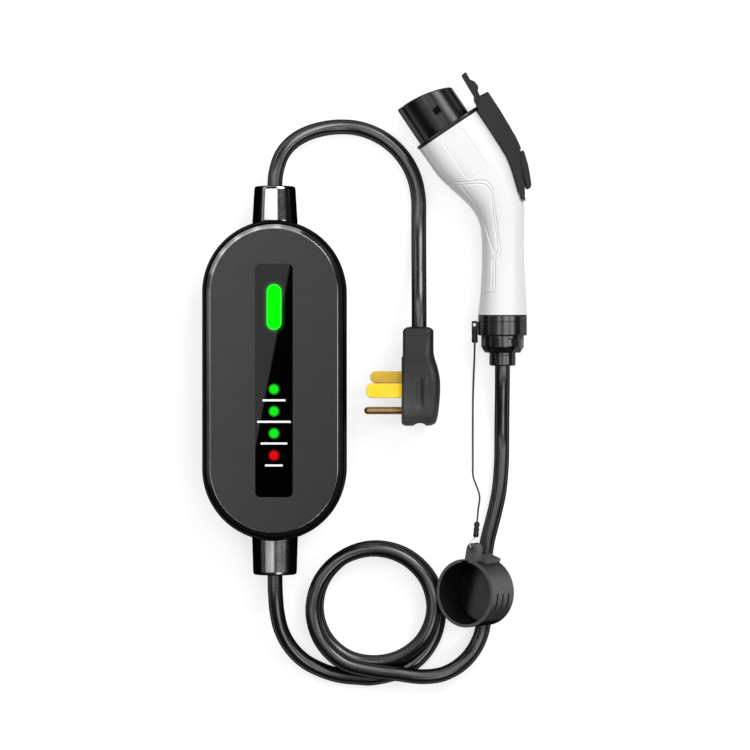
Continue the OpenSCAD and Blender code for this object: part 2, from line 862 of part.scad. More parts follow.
module top_cover() {
    wall_side = [
        [8.1, 15.2], [9, 7.4], [3.8, 1.9], [0.4, 0], [-0.4, -1.1], [-43, -1.3], [-54, -3.6], [-65, -7.2], [-73, -9.8],
        [-82, -11.2], [-77, -5.9], [-70, -2], [-60, 2.6], [-50, 7.4], [-46, 10.4], [-44.3, 12],
        [-34.7, 13.6], [-23, 14.3], [-9.8, 15]
    ];
    roof = [
        [8.1, 15.2], [-9.8, 15], [-23, 14.3], [-34.7, 13.6], [-44.3, 12], [-44.3, 9.8], [-34.7, 11.4],
        [-23, 12.1], [-9.8, 12.8], [8.4, 13]
    ];
    color([0.05, 0.05, 0.05])
        in_gun()
            at_latch()
                difference() {
                    union() {
                        for (s = [-1, 1])
                            translate([0, 0, s * (cover_z + cover_in) / 2])
                                linear_extrude(height = cover_z - cover_in, center = true)
                                    polygon(wall_side);
                        linear_extrude(height = 2 * cover_z - 1, center = true)
                            polygon(roof);
                        linear_extrude(height = 2 * cover_z - 1, center = true)
                            polygon([[-78, -6.9], [-81.6, -8.5], [-80, -8.2], [-78.4, -7.8]]);
                    }
                    translate([pivot[0], pivot[1], 0])
                        cylinder(r = pin_d / 2 + 0.02, h = 2 * cover_in + 2.8, center = true);
                }
}

module latch_lever() {
    arm = [
        [31.5, 9.2], [31.1, 5.3], [11.3, 4.3], [8.5, 2.4], [4.2, 2], [-4, 3.2], [-40, 3.2], [-46, 4.4],
        [-50, 4], [-50, 10.6], [-45.8, 8.4], [-40, 8.4], [-5, 9.2], [8, 8.2], [11.5, 9.1], [13.2, 9.2],
        [14.4, 10.6], [16.4, 11.8], [21, 11.4], [24.3, 9.3], [30.8, 9.8]
    ];
    pad = [
        [-46.6, 5.2], [-54, 3], [-65, 0.4], [-73.5, -2], [-75.5, -1.6], [-75.4, 0.8], [-73.6, 2.9],
        [-66, 6.5], [-58.7, 9.6], [-50, 12.4], [-47.5, 12.9], [-46.6, 12]
    ];
    color([0.06, 0.06, 0.06])
        in_gun()
            at_latch()
                difference() {
                    union() {
                        linear_extrude(height = arm_w, center = true)
                            polygon(arm);
                        linear_extrude(height = pad_w, center = true)
                            polygon(pad);
                        translate([pivot[0], pivot[1], 0])
                            cylinder(r = pin_d / 2 + 2.4, h = arm_w, center = true);
                    }
                    translate([pivot[0], pivot[1], 0])
                        cylinder(r = pin_d / 2 + 0.05, h = arm_w + 2, center = true);
                    translate([spring_s, spring_top, 0])
                        rotate([90, 0, 0])
                            cylinder(r = spring_r + 1, h = 12);
                }
}

module latch_pin() {
    color([0.6, 0.6, 0.62])
        in_gun()
            at_latch()
                translate([pivot[0], pivot[1], 0])
                    cylinder(r = pin_d / 2, h = 2 * cover_in + 2.6, center = true);
}

module latch_spring() {
    turns = 4;
    steps = 10;
    low = 0.9;
    high = spring_top - 0.5;
    color([0.6, 0.6, 0.62])
        in_gun()
            at_latch()
                translate([spring_s, 0, 0])
                    rotate([-90, 0, 0])
                        tube([for (i = [0:turns * steps])
                            let (u = i / (turns * steps))
                            [spring_r * cos(360 * i / steps), spring_r * sin(360 * i / steps), low + (high - low) * u]
                        ], 0.8, 6);
}

module handle_collar() {
    r = handle_d / 2;
    color([0.05, 0.05, 0.05])
        in_gun()
            at_handle()
                rotate_extrude()
                    polygon([
                        [bore_r, collar_low], [r - 0.5, collar_low], [r, collar_low + 0.8], [r, collar_top],
                        [r - shell_wall - 1.2, collar_top], [r - shell_wall - 1.8, collar_top + 8],
                        [bore_r, collar_top + 8]
                    ]);
}

module clamp_nut() {
    r = handle_d * 0.435;
    color([0.07, 0.07, 0.07])
        in_gun()
            at_handle()
                difference() {
                    rotate_extrude()
                        polygon([
                            [bore_r, nut_low], [r - 2.7, nut_low], [r, nut_low + 4.8], [r, collar_low],
                            [bore_r, collar_low]
                        ]);
                    for (k = [0:7])
                        rotate([0, 0, 45 * k + 22.5])
                            translate([r - 1.5, -2.8, nut_low + 2])
                                cube([5, 5.6, 9.4]);
                }
}

module gland_sleeve() {
    color([0.04, 0.04, 0.04])
        in_gun()
            at_handle()
                rotate_extrude()
                    polygon([
                        [bore_r, sleeve_low], [cable_r + 3.9, sleeve_low], [cable_r + 4.6, sleeve_low + 0.8],
                        [cable_r + 4.6, nut_low], [bore_r, nut_low]
                    ]);
}

module lanyard_clip() {
    color([0.06, 0.06, 0.06])
        in_gun()
            difference() {
                union() {
                    translate([clip_x - 2.5, 41.4, -1.6])
                        cube([5, 6.9, 3.2]);
                    translate([clip_x, 30.6, 0])
                        rotate([-90, 0, 0])
                            cylinder(r = 2.5, h = 11);
                }
                translate([clip_x - 0.3, 45.2, -5])
                    cylinder(r = 1.25, h = 10);
                translate([clip_x, 30, 0])
                    rotate([-90, 0, 0])
                        cylinder(r = lanyard_d / 2 + 0.5, h = 5);
            }
}

module lanyard_cord() {
    color([0.08, 0.08, 0.08])
        tube(lanyard_pts, lanyard_d, 8);
}

module lanyard_crimp() {
    color([0.08, 0.08, 0.08])
        translate(crimp_low)
            rotate([0, acos(crimp_dir[2]), atan2(crimp_dir[1], crimp_dir[0])])
                difference() {
                    cylinder(r = 2.3, h = crimp_l);
                    translate([0, 0, crimp_l - 5])
                        cylinder(r = lanyard_d / 2 + 0.15, h = 6);
                    translate([0, 0, -1])
                        cylinder(r = 1.2, h = 5);
                }
}

module wire_link() {
    color([0.6, 0.6, 0.62])
        tube(link_pts, link_d, 8, cross(link_a, crimp_dir));
}

module dust_cap() {
    color([0.07, 0.07, 0.07])
        in_cap()
            difference() {
                union() {
                    rotate_extrude()
                        polygon([
                            [0, 0], [cap_r - cap_edge, 0], [cap_r, cap_edge], [cap_r, cap_l], [0, cap_l]
                        ]);
                    rotate([0, 0, lug_a])
                        translate([0, 0, cap_l - lug_t])
                            linear_extrude(height = lug_t)
                                union() {
                                    translate([cap_r - 1.2, -5.2])
                                        square([lug_r - cap_r + 1.2, 10.4]);
                                    translate([lug_r, 0])
                                        circle(r = 5.2);
                                }
                    rotate([0, 0, lug_a - 9])
                        translate([cap_r - 1.2, -5.6, 3])
                            cube([4.6, 11.2, cap_l - lug_t - 3]);
                }
                translate([0, 0, 2.4])
                    cylinder(r = cap_r - cap_wall, h = cap_l);
                translate([cap_r - cap_wall - 2, -key_w / 2 - 0.6, 2.4])
                    cube([cap_wall + 1, key_w + 1.2, cap_l]);
                rotate([0, 0, lug_a])
                    translate([lug_r, 0, 0])
                        cylinder(r = hole_r, h = cap_l + 2);
                for (z = [8.5, 16.5, 24.5])
                    rotate([0, 0, -104])
                        translate([cap_r - 0.9, -6.5, z])
                            cube([4, 13, 1.5]);
            }
}

rear_cover();
front_cover();
case_seal();
case_screws();
display_window();
light_bar();
status_lights_green();
status_light_red();
indicator_board();
main_board();
relays();
current_sensor();
power_module();
cable_clamps();
mains_gland();
output_gland();
mains_cable();
plug_body();
hot_blades();
neutral_blade();
ground_pin();
output_cable();
gun_shell_near();
gun_shell_far();
shell_posts();
flange_seal();
nozzle();
contact_insert();
power_contacts();
earth_contact();
signal_contacts();
top_cover();
latch_lever();
latch_pin();
latch_spring();
handle_collar();
clamp_nut();
gland_sleeve();
lanyard_clip();
lanyard_cord();
lanyard_crimp();
wire_link();
dust_cap();
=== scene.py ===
import math

import bmesh
import bpy
import numpy as np
from mathutils import Matrix, Vector


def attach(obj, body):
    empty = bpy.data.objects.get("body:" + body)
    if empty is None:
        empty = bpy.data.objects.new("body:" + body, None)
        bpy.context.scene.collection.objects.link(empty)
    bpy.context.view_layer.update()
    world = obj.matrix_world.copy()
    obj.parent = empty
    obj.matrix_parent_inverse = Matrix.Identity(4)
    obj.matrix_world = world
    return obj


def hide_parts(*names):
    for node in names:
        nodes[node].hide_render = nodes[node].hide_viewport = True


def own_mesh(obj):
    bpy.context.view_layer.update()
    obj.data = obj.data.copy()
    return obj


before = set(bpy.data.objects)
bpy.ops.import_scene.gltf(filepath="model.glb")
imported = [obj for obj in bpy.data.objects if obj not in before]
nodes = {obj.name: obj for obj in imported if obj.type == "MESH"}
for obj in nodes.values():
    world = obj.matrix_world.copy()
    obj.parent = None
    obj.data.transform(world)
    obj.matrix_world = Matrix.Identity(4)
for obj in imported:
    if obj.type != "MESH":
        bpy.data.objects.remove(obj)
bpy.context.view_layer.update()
scene = bpy.context.scene
MM = 0.001

# Camera: straight down over the middle of the picture, 0.81 mm to a pixel at half the box's height
PIXEL, PICTURE, SENSOR, MID_Z = 0.81, 750, 36, 0.025
EYE = Vector((0.0810, 0.0044, 2.425))
cam_data = bpy.data.cameras.new("camera")
cam_data.sensor_width = SENSOR
cam_data.lens = SENSOR * (EYE.z - MID_Z) / (PICTURE * PIXEL * MM)
cam_data.clip_start, cam_data.clip_end = 0.05, 50
camera = bpy.data.objects.new("camera", cam_data)
camera.location = EYE
scene.collection.objects.link(camera)
scene.camera = camera

# Values of the part, in millimetres
BOX_W, BOX_L, BOX_T = 116.0, 258.0, 50.0
BOX_R = BOX_W / 2
END_Y = BOX_L / 2 - BOX_R
AXIS_Z = BOX_T / 2
FRONT_LOW = AXIS_Z + 0.4
WALL = 2.6
RIM_IN = 6.8
WIN_W, WIN_L, WIN_TOP = 30.0, 187.0, 49.85
BAR_W, BAR_L, BAR_Y = 12.0, 36.8, 58.9
DOT_D = 8.6
DOTS = [-7 - 17.7 * i for i in range(4)]
GLAND_D, GLAND_L = 36.5, 28.0
GLAND_END = BOX_L / 2 + GLAND_L
CABLE_D = 12.2
CABLE_R = CABLE_D / 2
BORE_R = CABLE_R + 0.2
FLOOR_Z = CABLE_R + 0.05
PLUG_X, PLUG_Z, PLUG_CX = 102.6, 27.05, 116.7
PLUG_DEPTH, PLUG_T = 30.8, 54.0
PIN_Y, HOT_Z = -24.4, 12.7
HX, HANDLE_D = 184.5, 39.9
NOZZLE_A = math.radians(34)
NOSE_F = np.array([-math.sin(NOZZLE_A), math.cos(NOZZLE_A), 0.0])
NOSE_T = np.array([math.cos(NOZZLE_A), math.sin(NOZZLE_A), 0.0])
NOSE_C = np.array([140.5, 202.4, 0.0])
NOSE_A = 28.0
NOZZLE_R, NOZZLE_L, NOZZLE_WALL = 21.7, 35.0, 3.0
FLANGE_B, FLANGE_LOW = 25.6, 0.8
LIE_A = np.array([HX, 36.5, 0.0])
LIE_B = NOSE_C + NOSE_F * FLANGE_LOW
LIE_E = (LIE_B - LIE_A) / np.linalg.norm(LIE_B - LIE_A)
LIE_K = np.array([LIE_E[1], -LIE_E[0], 0.0])
GUN_TILT = math.atan((FLANGE_B - HANDLE_D / 2) / np.linalg.norm(LIE_B - LIE_A))
GUN_Z = HANDLE_D / 2 * math.cos(GUN_TILT) + 0.05
GUN_TURN = np.array(Matrix.Rotation(GUN_TILT, 3, Vector(LIE_K)))
CAP_TILT = math.radians(35.9)
CAP_R, CAP_L, CAP_EDGE = 27.5, 32.0, 1.5
CAP_Z = (CAP_R - CAP_EDGE) * math.sin(CAP_TILT) + 0.03
REST_X = 170.0
CAP_X = REST_X - (CABLE_R + 0.2 - (CAP_Z - FLOOR_Z) * math.cos(CAP_TILT)) / math.sin(CAP_TILT)
CAP_Y = -171.3
UP = np.array([0, 0, 1.0])


def gun_at(p):
    """Points of the gun's own frame, laid down on its flange and collar."""
    return (np.asarray(p, float) - LIE_A) @ GUN_TURN.T + LIE_A + np.array([0, 0, GUN_Z])


def nose_at(p):
    """Points of the nozzle's frame: x towards the latch, z out of the nozzle."""
    p = np.asarray(p, float)
    return gun_at(p[..., :1] * NOSE_T + p[..., 2:] * NOSE_F + NOSE_C - p[..., 1:2] * UP)


def latch_at(p):
    """Points of the latch's frame: x along the nozzle, y away from it."""
    p = np.asarray(p, float)
    corner = NOSE_C + NOSE_T * NOSE_A
    return gun_at(p[..., :1] * NOSE_F + p[..., 1:2] * NOSE_T + corner - p[..., 2:] * UP)


def handle_at(p):
    """Points of the handle's frame: z along the handle."""
    p = np.asarray(p, float)
    return gun_at(np.stack([HX + p[..., 0], p[..., 2], -p[..., 1]], -1))


def cap_at(p):
    """Points of the dust cap's frame: z out of its mouth."""
    p = np.asarray(p, float)
    c, s = math.cos(CAP_TILT), math.sin(CAP_TILT)
    x, y, z = p[..., 0], p[..., 1], p[..., 2]
    return np.stack([CAP_X - y * c - z * s, CAP_Y + x, CAP_Z - y * s + z * c], -1)


def lifted(points, top):
    """Route points whose third value is a share of the height from the floor to the top."""
    return [(x, y, FLOOR_Z + (top - FLOOR_Z) * u) for x, y, u in points]


# Routes of the cords
mains_route = lifted([
    (0, 103, 1), (0, 161, 1), (1.4, 171, 0.98), (5.6, 183, 0.9), (13.6, 193, 0.74), (25, 200.4, 0.5),
    (38.5, 205, 0.24), (53, 206.9, 0.06), (68, 205.6, 0), (82.4, 200.4, 0), (95.4, 191.6, 0), (106, 179.6, 0),
    (113.2, 165, 0), (116.4, 149, 0)], AXIS_Z)
mains_route += lifted([(PLUG_CX, y, u) for y, u in (
    (132, 0.03), (115, 0.16), (98, 0.42), (81, 0.72), (65, 0.93), (50, 1), (31.4, 1))], PLUG_Z)
COIL_C = (80.0, -186.5)
COIL_R = 49.5
COIL_OUT = COIL_R + CABLE_R + 0.65
COIL_IN = COIL_OUT - CABLE_D - 0.3
COIL_UP = FLOOR_Z + CABLE_D + 0.25


def ease(u):
    c = max(0.0, min(1.0, u))
    return c * c * (3 - 2 * c)


def coil_at(t):
    """Point of the coil after t turns: one turn on the floor, then one on top of it."""
    r = COIL_OUT + (COIL_IN - COIL_OUT) * t if t < 1.02 else COIL_IN + (COIL_R - COIL_IN) * ease((t - 1.02) / 0.3)
    a = 2 * math.pi * t
    z = FLOOR_Z + (COIL_UP - FLOOR_Z) * ease((t - 0.94) / 0.3)
    return (COIL_C[0] + r * math.sin(a), COIL_C[1] - r * math.cos(a), z)


output_route = lifted([
    (0, -103, 1), (0, -161, 1), (0.4, -174, 0.97), (1.6, -188, 0.86), (5, -203, 0.68), (12.4, -217, 0.46),
    (23.4, -228.4, 0.26), (38, -236.4, 0.1), (52, -240.8, 0.02), (66, -242.4, 0)], AXIS_Z)
output_route += [coil_at(i / 12) for i in range(25)]
output_route += lifted([
    (99, -238.2, 1), (118, -240.6, 1), (134, -239.2, 0.93), (146, -234.2, 0.75), (156, -226.4, 0.48),
    (163.6, -216.2, 0.2), (168.3, -204.6, 0.03), (REST_X, -192, 0), (REST_X, -173, 0), (170.2, -152, 0),
    (172.6, -132, 0), (177.6, -112, 0), (182, -92, 0), (184.2, -68, 0)], COIL_UP)
output_route += lifted([(HX, -46, 0.05), (HX, -28, 0.34), (HX, -12, 0.68), (HX, 2, 0.9)], GUN_Z)
# The lead runs on inside the hollow handle, past its screw post
output_route += [tuple(gun_at((x, y, 0))) for x, y in (
    (HX, 12), (HX, 36.5), (HX, 48), (184.9, 60), (187.2, 74), (190.9, 88), (193.2, 99), (193.5, 108), (192.6, 119))]
CLIP_X = HX - HANDLE_D / 2 - 2.6
CLIP_END = gun_at((CLIP_X, 30.6, 0))
LUG_A, LUG_R, LUG_T = math.radians(-11), CAP_R + 8.7, 8.0
HOLE_AT = cap_at((LUG_R * math.cos(LUG_A), LUG_R * math.sin(LUG_A), CAP_L - LUG_T / 2))
CRIMP_DIR = np.array([0.1, 0.86, -0.5]) / np.linalg.norm([0.1, 0.86, -0.5])
CRIMP_LOW = HOLE_AT + CRIMP_DIR * 11.5
CRIMP_L = 12.6
CRIMP_TOP = CRIMP_LOW + CRIMP_DIR * CRIMP_L
LAN_D = 1.6
LAN_Z = 0.95
lanyard_route = [
    CRIMP_TOP - CRIMP_DIR * 4, CRIMP_TOP, CRIMP_TOP + CRIMP_DIR * 12 + [0, 0, -0.6],
    CRIMP_TOP + CRIMP_DIR * 25 + [0, 0, -2.2], (161, -78, 10), (161, -66, 4.2), (161, -54, LAN_Z + 0.4),
    (161, -40, LAN_Z), (161.2, -14, LAN_Z), (161.6, 2, LAN_Z + 1.2), (161.9, 13, 6.6), (162, 22, 13.6),
    CLIP_END + [0, -2, -1], CLIP_END + [0, 3, 0.1],
][::-1]


def mix(a, b, ta, tb, t):
    """Point at time t on the line through a at ta and b at tb."""
    return (tb - t) / (tb - ta) * a + (t - ta) / (tb - ta) * b


def smooth_line(points, per=8):
    """Points on a smooth curve through the given ones."""
    p = [np.asarray(q, float) for q in points]
    p = [2 * p[0] - p[1]] + p + [2 * p[-1] - p[-2]]
    out = []
    for a, b, c, d in zip(p, p[1:], p[2:], p[3:]):
        steps = [max(np.linalg.norm(v - u), 1e-6) ** 0.5 for u, v in ((a, b), (b, c), (c, d))]
        ta, (tb, tc, td) = 0.0, np.cumsum(steps)
        for i in range(per):
            t = tb + (tc - tb) * i / per
            a1, a2, a3 = mix(a, b, ta, tb, t), mix(b, c, tb, tc, t), mix(c, d, tc, td, t)
            b1, b2 = mix(a1, a2, ta, tc, t), mix(a2, a3, tb, td, t)
            out.append(mix(b1, b2, tb, tc, t))
    out.append(p[-2])
    return out


# Materials
def put(node, values):
    """Links or sets sockets of a node."""
    for key, v in values.items():
        if isinstance(v, bpy.types.NodeSocket):
            node.id_data.links.new(v, node.inputs[key])
        else:
            node.inputs[key].default_value = v
    return node


def add(tree, kind, values=None, **settings):
    """New node in a tree, with its settings and sockets."""
    node = tree.nodes.new("ShaderNode" + kind)
    for key, v in settings.items():
        setattr(node, key, v)
    return put(node, values or {})


def ranged(tree, value, first, last, low=0.0, high=1.0, kind="SMOOTHSTEP"):
    """A value carried from one range to another and held at both ends."""
    ends = {"Value": value, "From Min": first, "From Max": last, "To Min": low, "To Max": high}
    return add(tree, "MapRange", ends, interpolation_type=kind).outputs["Result"]


def place_in(tree):
    return add(tree, "TexCoord").outputs["Object"]


def maths(tree, op, a, b=0.0):
    return add(tree, "Math", {0: a, 1: b}, operation=op).outputs[0]


def shader(name, base, rough, grain, metal=0.0, spec=0.5, ior=1.5, rough_var=0.05, bump=None, glow=None, edge=None,
           fade=(0.2, 0.55)):
    """Principled surface with a fine change of colour and roughness, and a bump, in metres of the object."""
    m = bpy.data.materials.new(name)
    m.use_nodes = True
    t = m.node_tree
    bsdf = put(t.nodes["Principled BSDF"], {
        "Metallic": metal, "Specular IOR Level": spec, "IOR": ior, "Roughness": rough, "Base Color": (*base, 1)})
    where = place_in(t)
    noise = add(t, "TexNoise", {"Vector": where, "Scale": grain[0], "Detail": 3, "Roughness": 0.6})
    ramp = add(t, "ValToRGB", {"Fac": noise.outputs["Fac"]})
    for stop, at, k in zip(ramp.color_ramp.elements, (0.3, 0.7), (1 - grain[1], 1 + grain[1])):
        stop.position = at
        stop.color = (*[min(1, c * k) for c in base], 1)
    cloud = add(t, "TexNoise", {"Vector": where, "Scale": 60, "Detail": 4}).outputs["Fac"]
    uneven = ranged(t, cloud, 0.25, 0.75, rough - rough_var, rough + rough_var, "LINEAR")
    put(bsdf, {"Base Color": ramp.outputs["Color"], "Roughness": uneven})
    if bump:
        relief = add(t, "TexNoise", {"Vector": where, "Scale": bump[0], "Detail": 2}).outputs["Fac"]
        dents = add(t, "Bump", {"Height": relief, "Strength": 1.0, "Distance": bump[1]})
        put(bsdf, {"Normal": dents.outputs["Normal"]})
    if edge is not None:
        facing = add(t, "LayerWeight").outputs["Facing"]
        put(bsdf, {"Specular IOR Level": ranged(t, facing, *fade, spec, edge, "LINEAR")})
    if glow:
        put(bsdf, {"Emission Color": (*glow[0], 1), "Emission Strength": glow[1]})
    return m


def scale_base(tree, factor):
    """Multiplies the base colour of a material by a factor."""
    bsdf = tree.nodes["Principled BSDF"]
    colour = bsdf.inputs["Base Color"].links[0].from_socket
    scaled = add(tree, "VectorMath", {0: colour, "Scale": factor}, operation="SCALE")
    return put(bsdf, {"Base Color": scaled.outputs["Vector"]})


def grey(v):
    return (v, v, v * 1.02)


def brass(name, base, rough, change):
    return shader(name, base, rough, metal=1.0, grain=(120, change), bump=(300, 4e-6))


def lamp_lens(name, base, spec, glow, strength=0.9):
    return shader(name, base, 0.3, spec=spec, grain=(200, 0.1), rough_var=0.02, glow=(glow, strength))


face_mat = shader("face_grain", grey(0.012), 0.31, spec=0.31, grain=(620, 0.32), rough_var=0.03, bump=(1000, 7e-5))
side_mat = shader("case_black", grey(0.002), 0.3, spec=0.2, edge=0.0, grain=(200, 0.2), bump=(1500, 1e-5))
rim_mat = shader("gloss_black", grey(0.0015), 0.14, ior=3.2, edge=0.0, fade=(0.18, 0.26), grain=(90, 0.15),
                 rough_var=0.02, bump=(900, 4e-6))
window_mat = shader("window_glass", grey(0.0006), 0.016, spec=0.124, edge=0.05, grain=(40, 0.1), rough_var=0.004)
gland_mat = shader("gland_gloss", grey(0.0015), 0.14, ior=3.3, edge=0.0, fade=(0.17, 0.3), grain=(300, 0.2),
                   rough_var=0.02, bump=(900, 3e-6))
gland2_mat = shader("gland_satin", grey(0.0015), 0.22, ior=2.7, edge=0.0, fade=(0.12, 0.26), grain=(300, 0.2),
                    rough_var=0.03, bump=(900, 4e-6))
cable_mat = shader("cable_rubber", grey(0.002), 0.27, ior=1.7, edge=0.0, grain=(300, 0.2), rough_var=0.015,
                   bump=(1500, 8e-7))
plug_mat = shader("plug_plastic", grey(0.012), 0.44, spec=0.3, edge=0.1, grain=(700, 0.15), rough_var=0.06,
                  bump=(1500, 4e-5))
hot_mat = brass("hot_brass", (0.85, 0.58, 0.04), 0.33, 0.06)
# The neutral blade's brass is darker than the hot blades': painted shade, as it lies lower in the plug than the near
# hot blade
neutral_mat = brass("neutral_brass", (0.52, 0.33, 0.045), 0.36, 0.12)
pin_mat = brass("pin_brass", (0.34, 0.22, 0.1), 0.38, 0.1)
white_mat = shader("white_shell", (0.66, 0.66, 0.66), 0.34, grain=(900, 0.012), rough_var=0.01, bump=(1800, 6e-6))
black_mat = shader("gun_black", grey(0.005), 0.32, spec=0.27, edge=0.05, grain=(500, 0.2), bump=(1600, 1e-5))
nozzle_mat = shader("nozzle_black", grey(0.004), 0.28, ior=1.42, edge=0.1, grain=(300, 0.2), rough_var=0.04,
                    bump=(1200, 1e-5))
cap_mat = shader("cap_rubber", grey(0.07), 0.42, spec=0.45, edge=0.0, fade=(0.2, 0.75), grain=(600, 0.2),
                 rough_var=0.06, bump=(1500, 3e-5))
collar_mat = shader("collar_gloss", grey(0.004), 0.22, ior=1.62, edge=0.05, grain=(400, 0.2), rough_var=0.03,
                    bump=(1200, 2e-6))
insert_mat = shader("insert_black", grey(0.003), 0.6, spec=0.06, grain=(500, 0.2), bump=(1200, 2e-5))
steel_mat = shader("steel", (0.55, 0.55, 0.56), 0.28, metal=1.0, grain=(400, 0.1), rough_var=0.08, bump=(900, 1e-5))
seal_mat = shader("seal_rubber", grey(0.012), 0.7, spec=0.3, grain=(600, 0.25), bump=(1200, 3e-5))
board_mat = shader("board_green", (0.015, 0.09, 0.035), 0.45, grain=(300, 0.25), bump=(800, 3e-5))
inner_mat = shader("inner_plastic", grey(0.03), 0.5, grain=(400, 0.2), bump=(1000, 3e-5))
green_mat = lamp_lens("green_lens", (0.0, 0.3, 0.0), 0.02, (0.0, 1.0, 0.0), 1.0)
green_rim_mat = lamp_lens("green_rim", (0.02, 0.3, 0.02), 0.05, (0.03, 0.72, 0.04))
dot_mat = lamp_lens("green_dot", (0.004, 0.2, 0.006), 0.03, (0.001, 0.66, 0.003))
dot_rim_mat = lamp_lens("green_dim", (0.002, 0.08, 0.003), 0.03, (0.001, 0.22, 0.002))
red_mat = lamp_lens("red_lens", (0.18, 0.0, 0.0), 0.03, (0.58, 0.001, 0.001))
red_rim_mat = lamp_lens("red_dim", (0.06, 0.0, 0.0), 0.03, (0.18, 0.001, 0.001))
cord_mat = shader("lanyard_cord", grey(0.02), 0.4, grain=(900, 0.3), bump=(2500, 5e-5))
# The caption print glows faintly: painted light, as print is no lamp
mark_mat = shader("caption_white", grey(0.75), 0.4, grain=(900, 0.04), glow=((1, 1, 1), 0.12))


def tube(name, route, d, mat, stands_for, per=8):
    line = [p * MM for p in smooth_line(route, per)]
    c = bpy.data.curves.new(name, "CURVE")
    c.dimensions = "3D"
    s = c.splines.new("POLY")
    s.points.add(len(line) - 1)
    for q, p in zip(s.points, line):
        q.co = (*p, 1)
    c.bevel_depth = d / 2 * MM
    c.bevel_resolution = 8
    c.use_fill_caps = True
    c.materials.append(mat)
    o = bpy.data.objects.new(name, c)
    scene.collection.objects.link(o)
    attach(o, "charger")
    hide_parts(stands_for)
    return o, float(sum(np.linalg.norm(b - a) for a, b in zip(line, line[1:])))


mains_lead, mains_len = tube("mains_lead", mains_route, CABLE_D, cable_mat, "mains_cable")
output_lead, output_len = tube("output_lead", output_route, CABLE_D, cable_mat, "output_cable")
lanyard, lanyard_len = tube("lanyard", lanyard_route, LAN_D, cord_mat, "lanyard_cord")


# Mesh helpers, all in millimetres
def raw(points, faces):
    mesh = bpy.data.meshes.new("work")
    mesh.from_pydata([tuple(p) for p in np.asarray(points) * MM], [], [tuple(int(i) for i in f) for f in faces])
    b = bmesh.new()
    b.from_mesh(mesh)
    bmesh.ops.recalc_face_normals(b, faces=b.faces)
    b.to_mesh(mesh)
    b.free()
    o = bpy.data.objects.new("work", mesh)
    scene.collection.objects.link(o)
    return o


def join(o, tool, how="DIFFERENCE"):
    """Cuts the tool out of the object, or adds it."""
    mod = o.modifiers.new("join", "BOOLEAN")
    mod.operation, mod.object, mod.solver = how, tool, "EXACT"
    new = bpy.data.meshes.new_from_object(o.evaluated_get(bpy.context.evaluated_depsgraph_get()))
    o.modifiers.clear()
    old = o.data
    o.data = new
    bpy.data.meshes.remove(old)
    bpy.data.objects.remove(tool)
    return o


def merged(parts):
    for other in parts[1:]:
        join(parts[0], other, "UNION")
    return parts[0]


def piece(o, name, mats, stands_for=(), body="charger", sharp=35.0, which=None):
    """Names and finishes a mesh: materials, smooth shading with sharp edges kept, body."""
    o.name = o.data.name = name
    mesh = o.data
    mesh.materials.clear()
    for m in mats:
        mesh.materials.append(m)
    if which is not None:
        mid = np.array([tuple(f.center) for f in mesh.polygons]) / MM
        out = np.array([tuple(f.normal) for f in mesh.polygons])
        mesh.polygons.foreach_set("material_index", np.asarray(which(mid, out), dtype=np.int32))
    mesh.shade_smooth()
    mesh.set_sharp_from_angle(angle=math.radians(sharp))
    o.modifiers.new("even", "WEIGHTED_NORMAL").keep_sharp = True
    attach(o, body)
    if stands_for:
        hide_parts(*stands_for)
    return o


def loft(rings, closed=False, at=None):
    """Skin over rings of equal count, with flat ends unless the last ring meets the first."""
    rings = [np.asarray(r, float) for r in rings]
    if at:
        rings = [at(r) for r in rings]
    m, n = len(rings), len(rings[0])
    faces = []
    for i in range(m if closed else m - 1):
        a, b = i * n, (i + 1) % m * n
        faces += [(a + j, a + (j + 1) % n, b + (j + 1) % n, b + j) for j in range(n)]
    if not closed:
        faces += [tuple(range(n)), tuple((m - 1) * n + j for j in range(n))]
    return raw(np.concatenate(rings), faces)


def full_turn(n):
    return np.arange(n) * 2 * math.pi / n


def lathe(profile, n):
    t = full_turn(n)
    return [np.stack([r * np.cos(t), r * np.sin(t), np.full(n, z)], -1) for r, z in profile]


def turned(profile, n, axis, place):
    """Rings of a turned shape about a line along x or y through the place."""
    order = [2, 0, 1] if axis == "x" else [0, 2, 1]
    return [r[:, order] + place for r in lathe(profile, n)]


def rounded(points, radius, steps=5, closed=True):
    """Outline with its corners turned into arcs."""
    p = np.asarray(points, float)
    n = len(p)
    radii = list(radius) if hasattr(radius, "__len__") else [radius] * n
    out = []
    for i in range(n):
        if not closed and i in (0, n - 1):
            out.append(p[i])
            continue
        b = p[i]
        u, v = p[i - 1] - b, p[(i + 1) % n] - b
        lu, lv = np.linalg.norm(u), np.linalg.norm(v)
        u, v = u / lu, v / lv
        ang = math.acos(max(-1.0, min(1.0, float(u @ v))))
        if radii[i] <= 0 or ang > math.pi - 0.03:
            out.append(b)
            continue
        d = min(radii[i] / math.tan(ang / 2), 0.47 * lu, 0.47 * lv)
        r = d * math.tan(ang / 2)
        mid = (u + v) / np.linalg.norm(u + v)
        o = b + mid * (r / math.sin(ang / 2))
        a0, a1, th = b + u * d - o, b + v * d - o, math.pi - ang
        for k in range(steps + 1):
            s = k / steps
            out.append(o + (math.sin((1 - s) * th) * a0 + math.sin(s * th) * a1) / math.sin(th))
    return np.array(out)


def turned_left(loop):
    x, y = loop[:, 0], loop[:, 1]
    return loop if np.sum(x * np.roll(y, -1) - np.roll(x, -1) * y) > 0 else loop[::-1]


def inset(loop, d):
    e = np.roll(loop, -1, 0) - loop
    e /= np.linalg.norm(e, axis=1)[:, None]
    n1 = np.stack([-e[:, 1], e[:, 0]], -1)
    n0 = np.roll(n1, 1, 0)
    return loop + d * (n0 + n1) / np.maximum(1 + np.sum(n0 * n1, 1), 0.35)[:, None]


def flat(loop, z):
    return np.column_stack([loop, np.full(len(loop), z)])


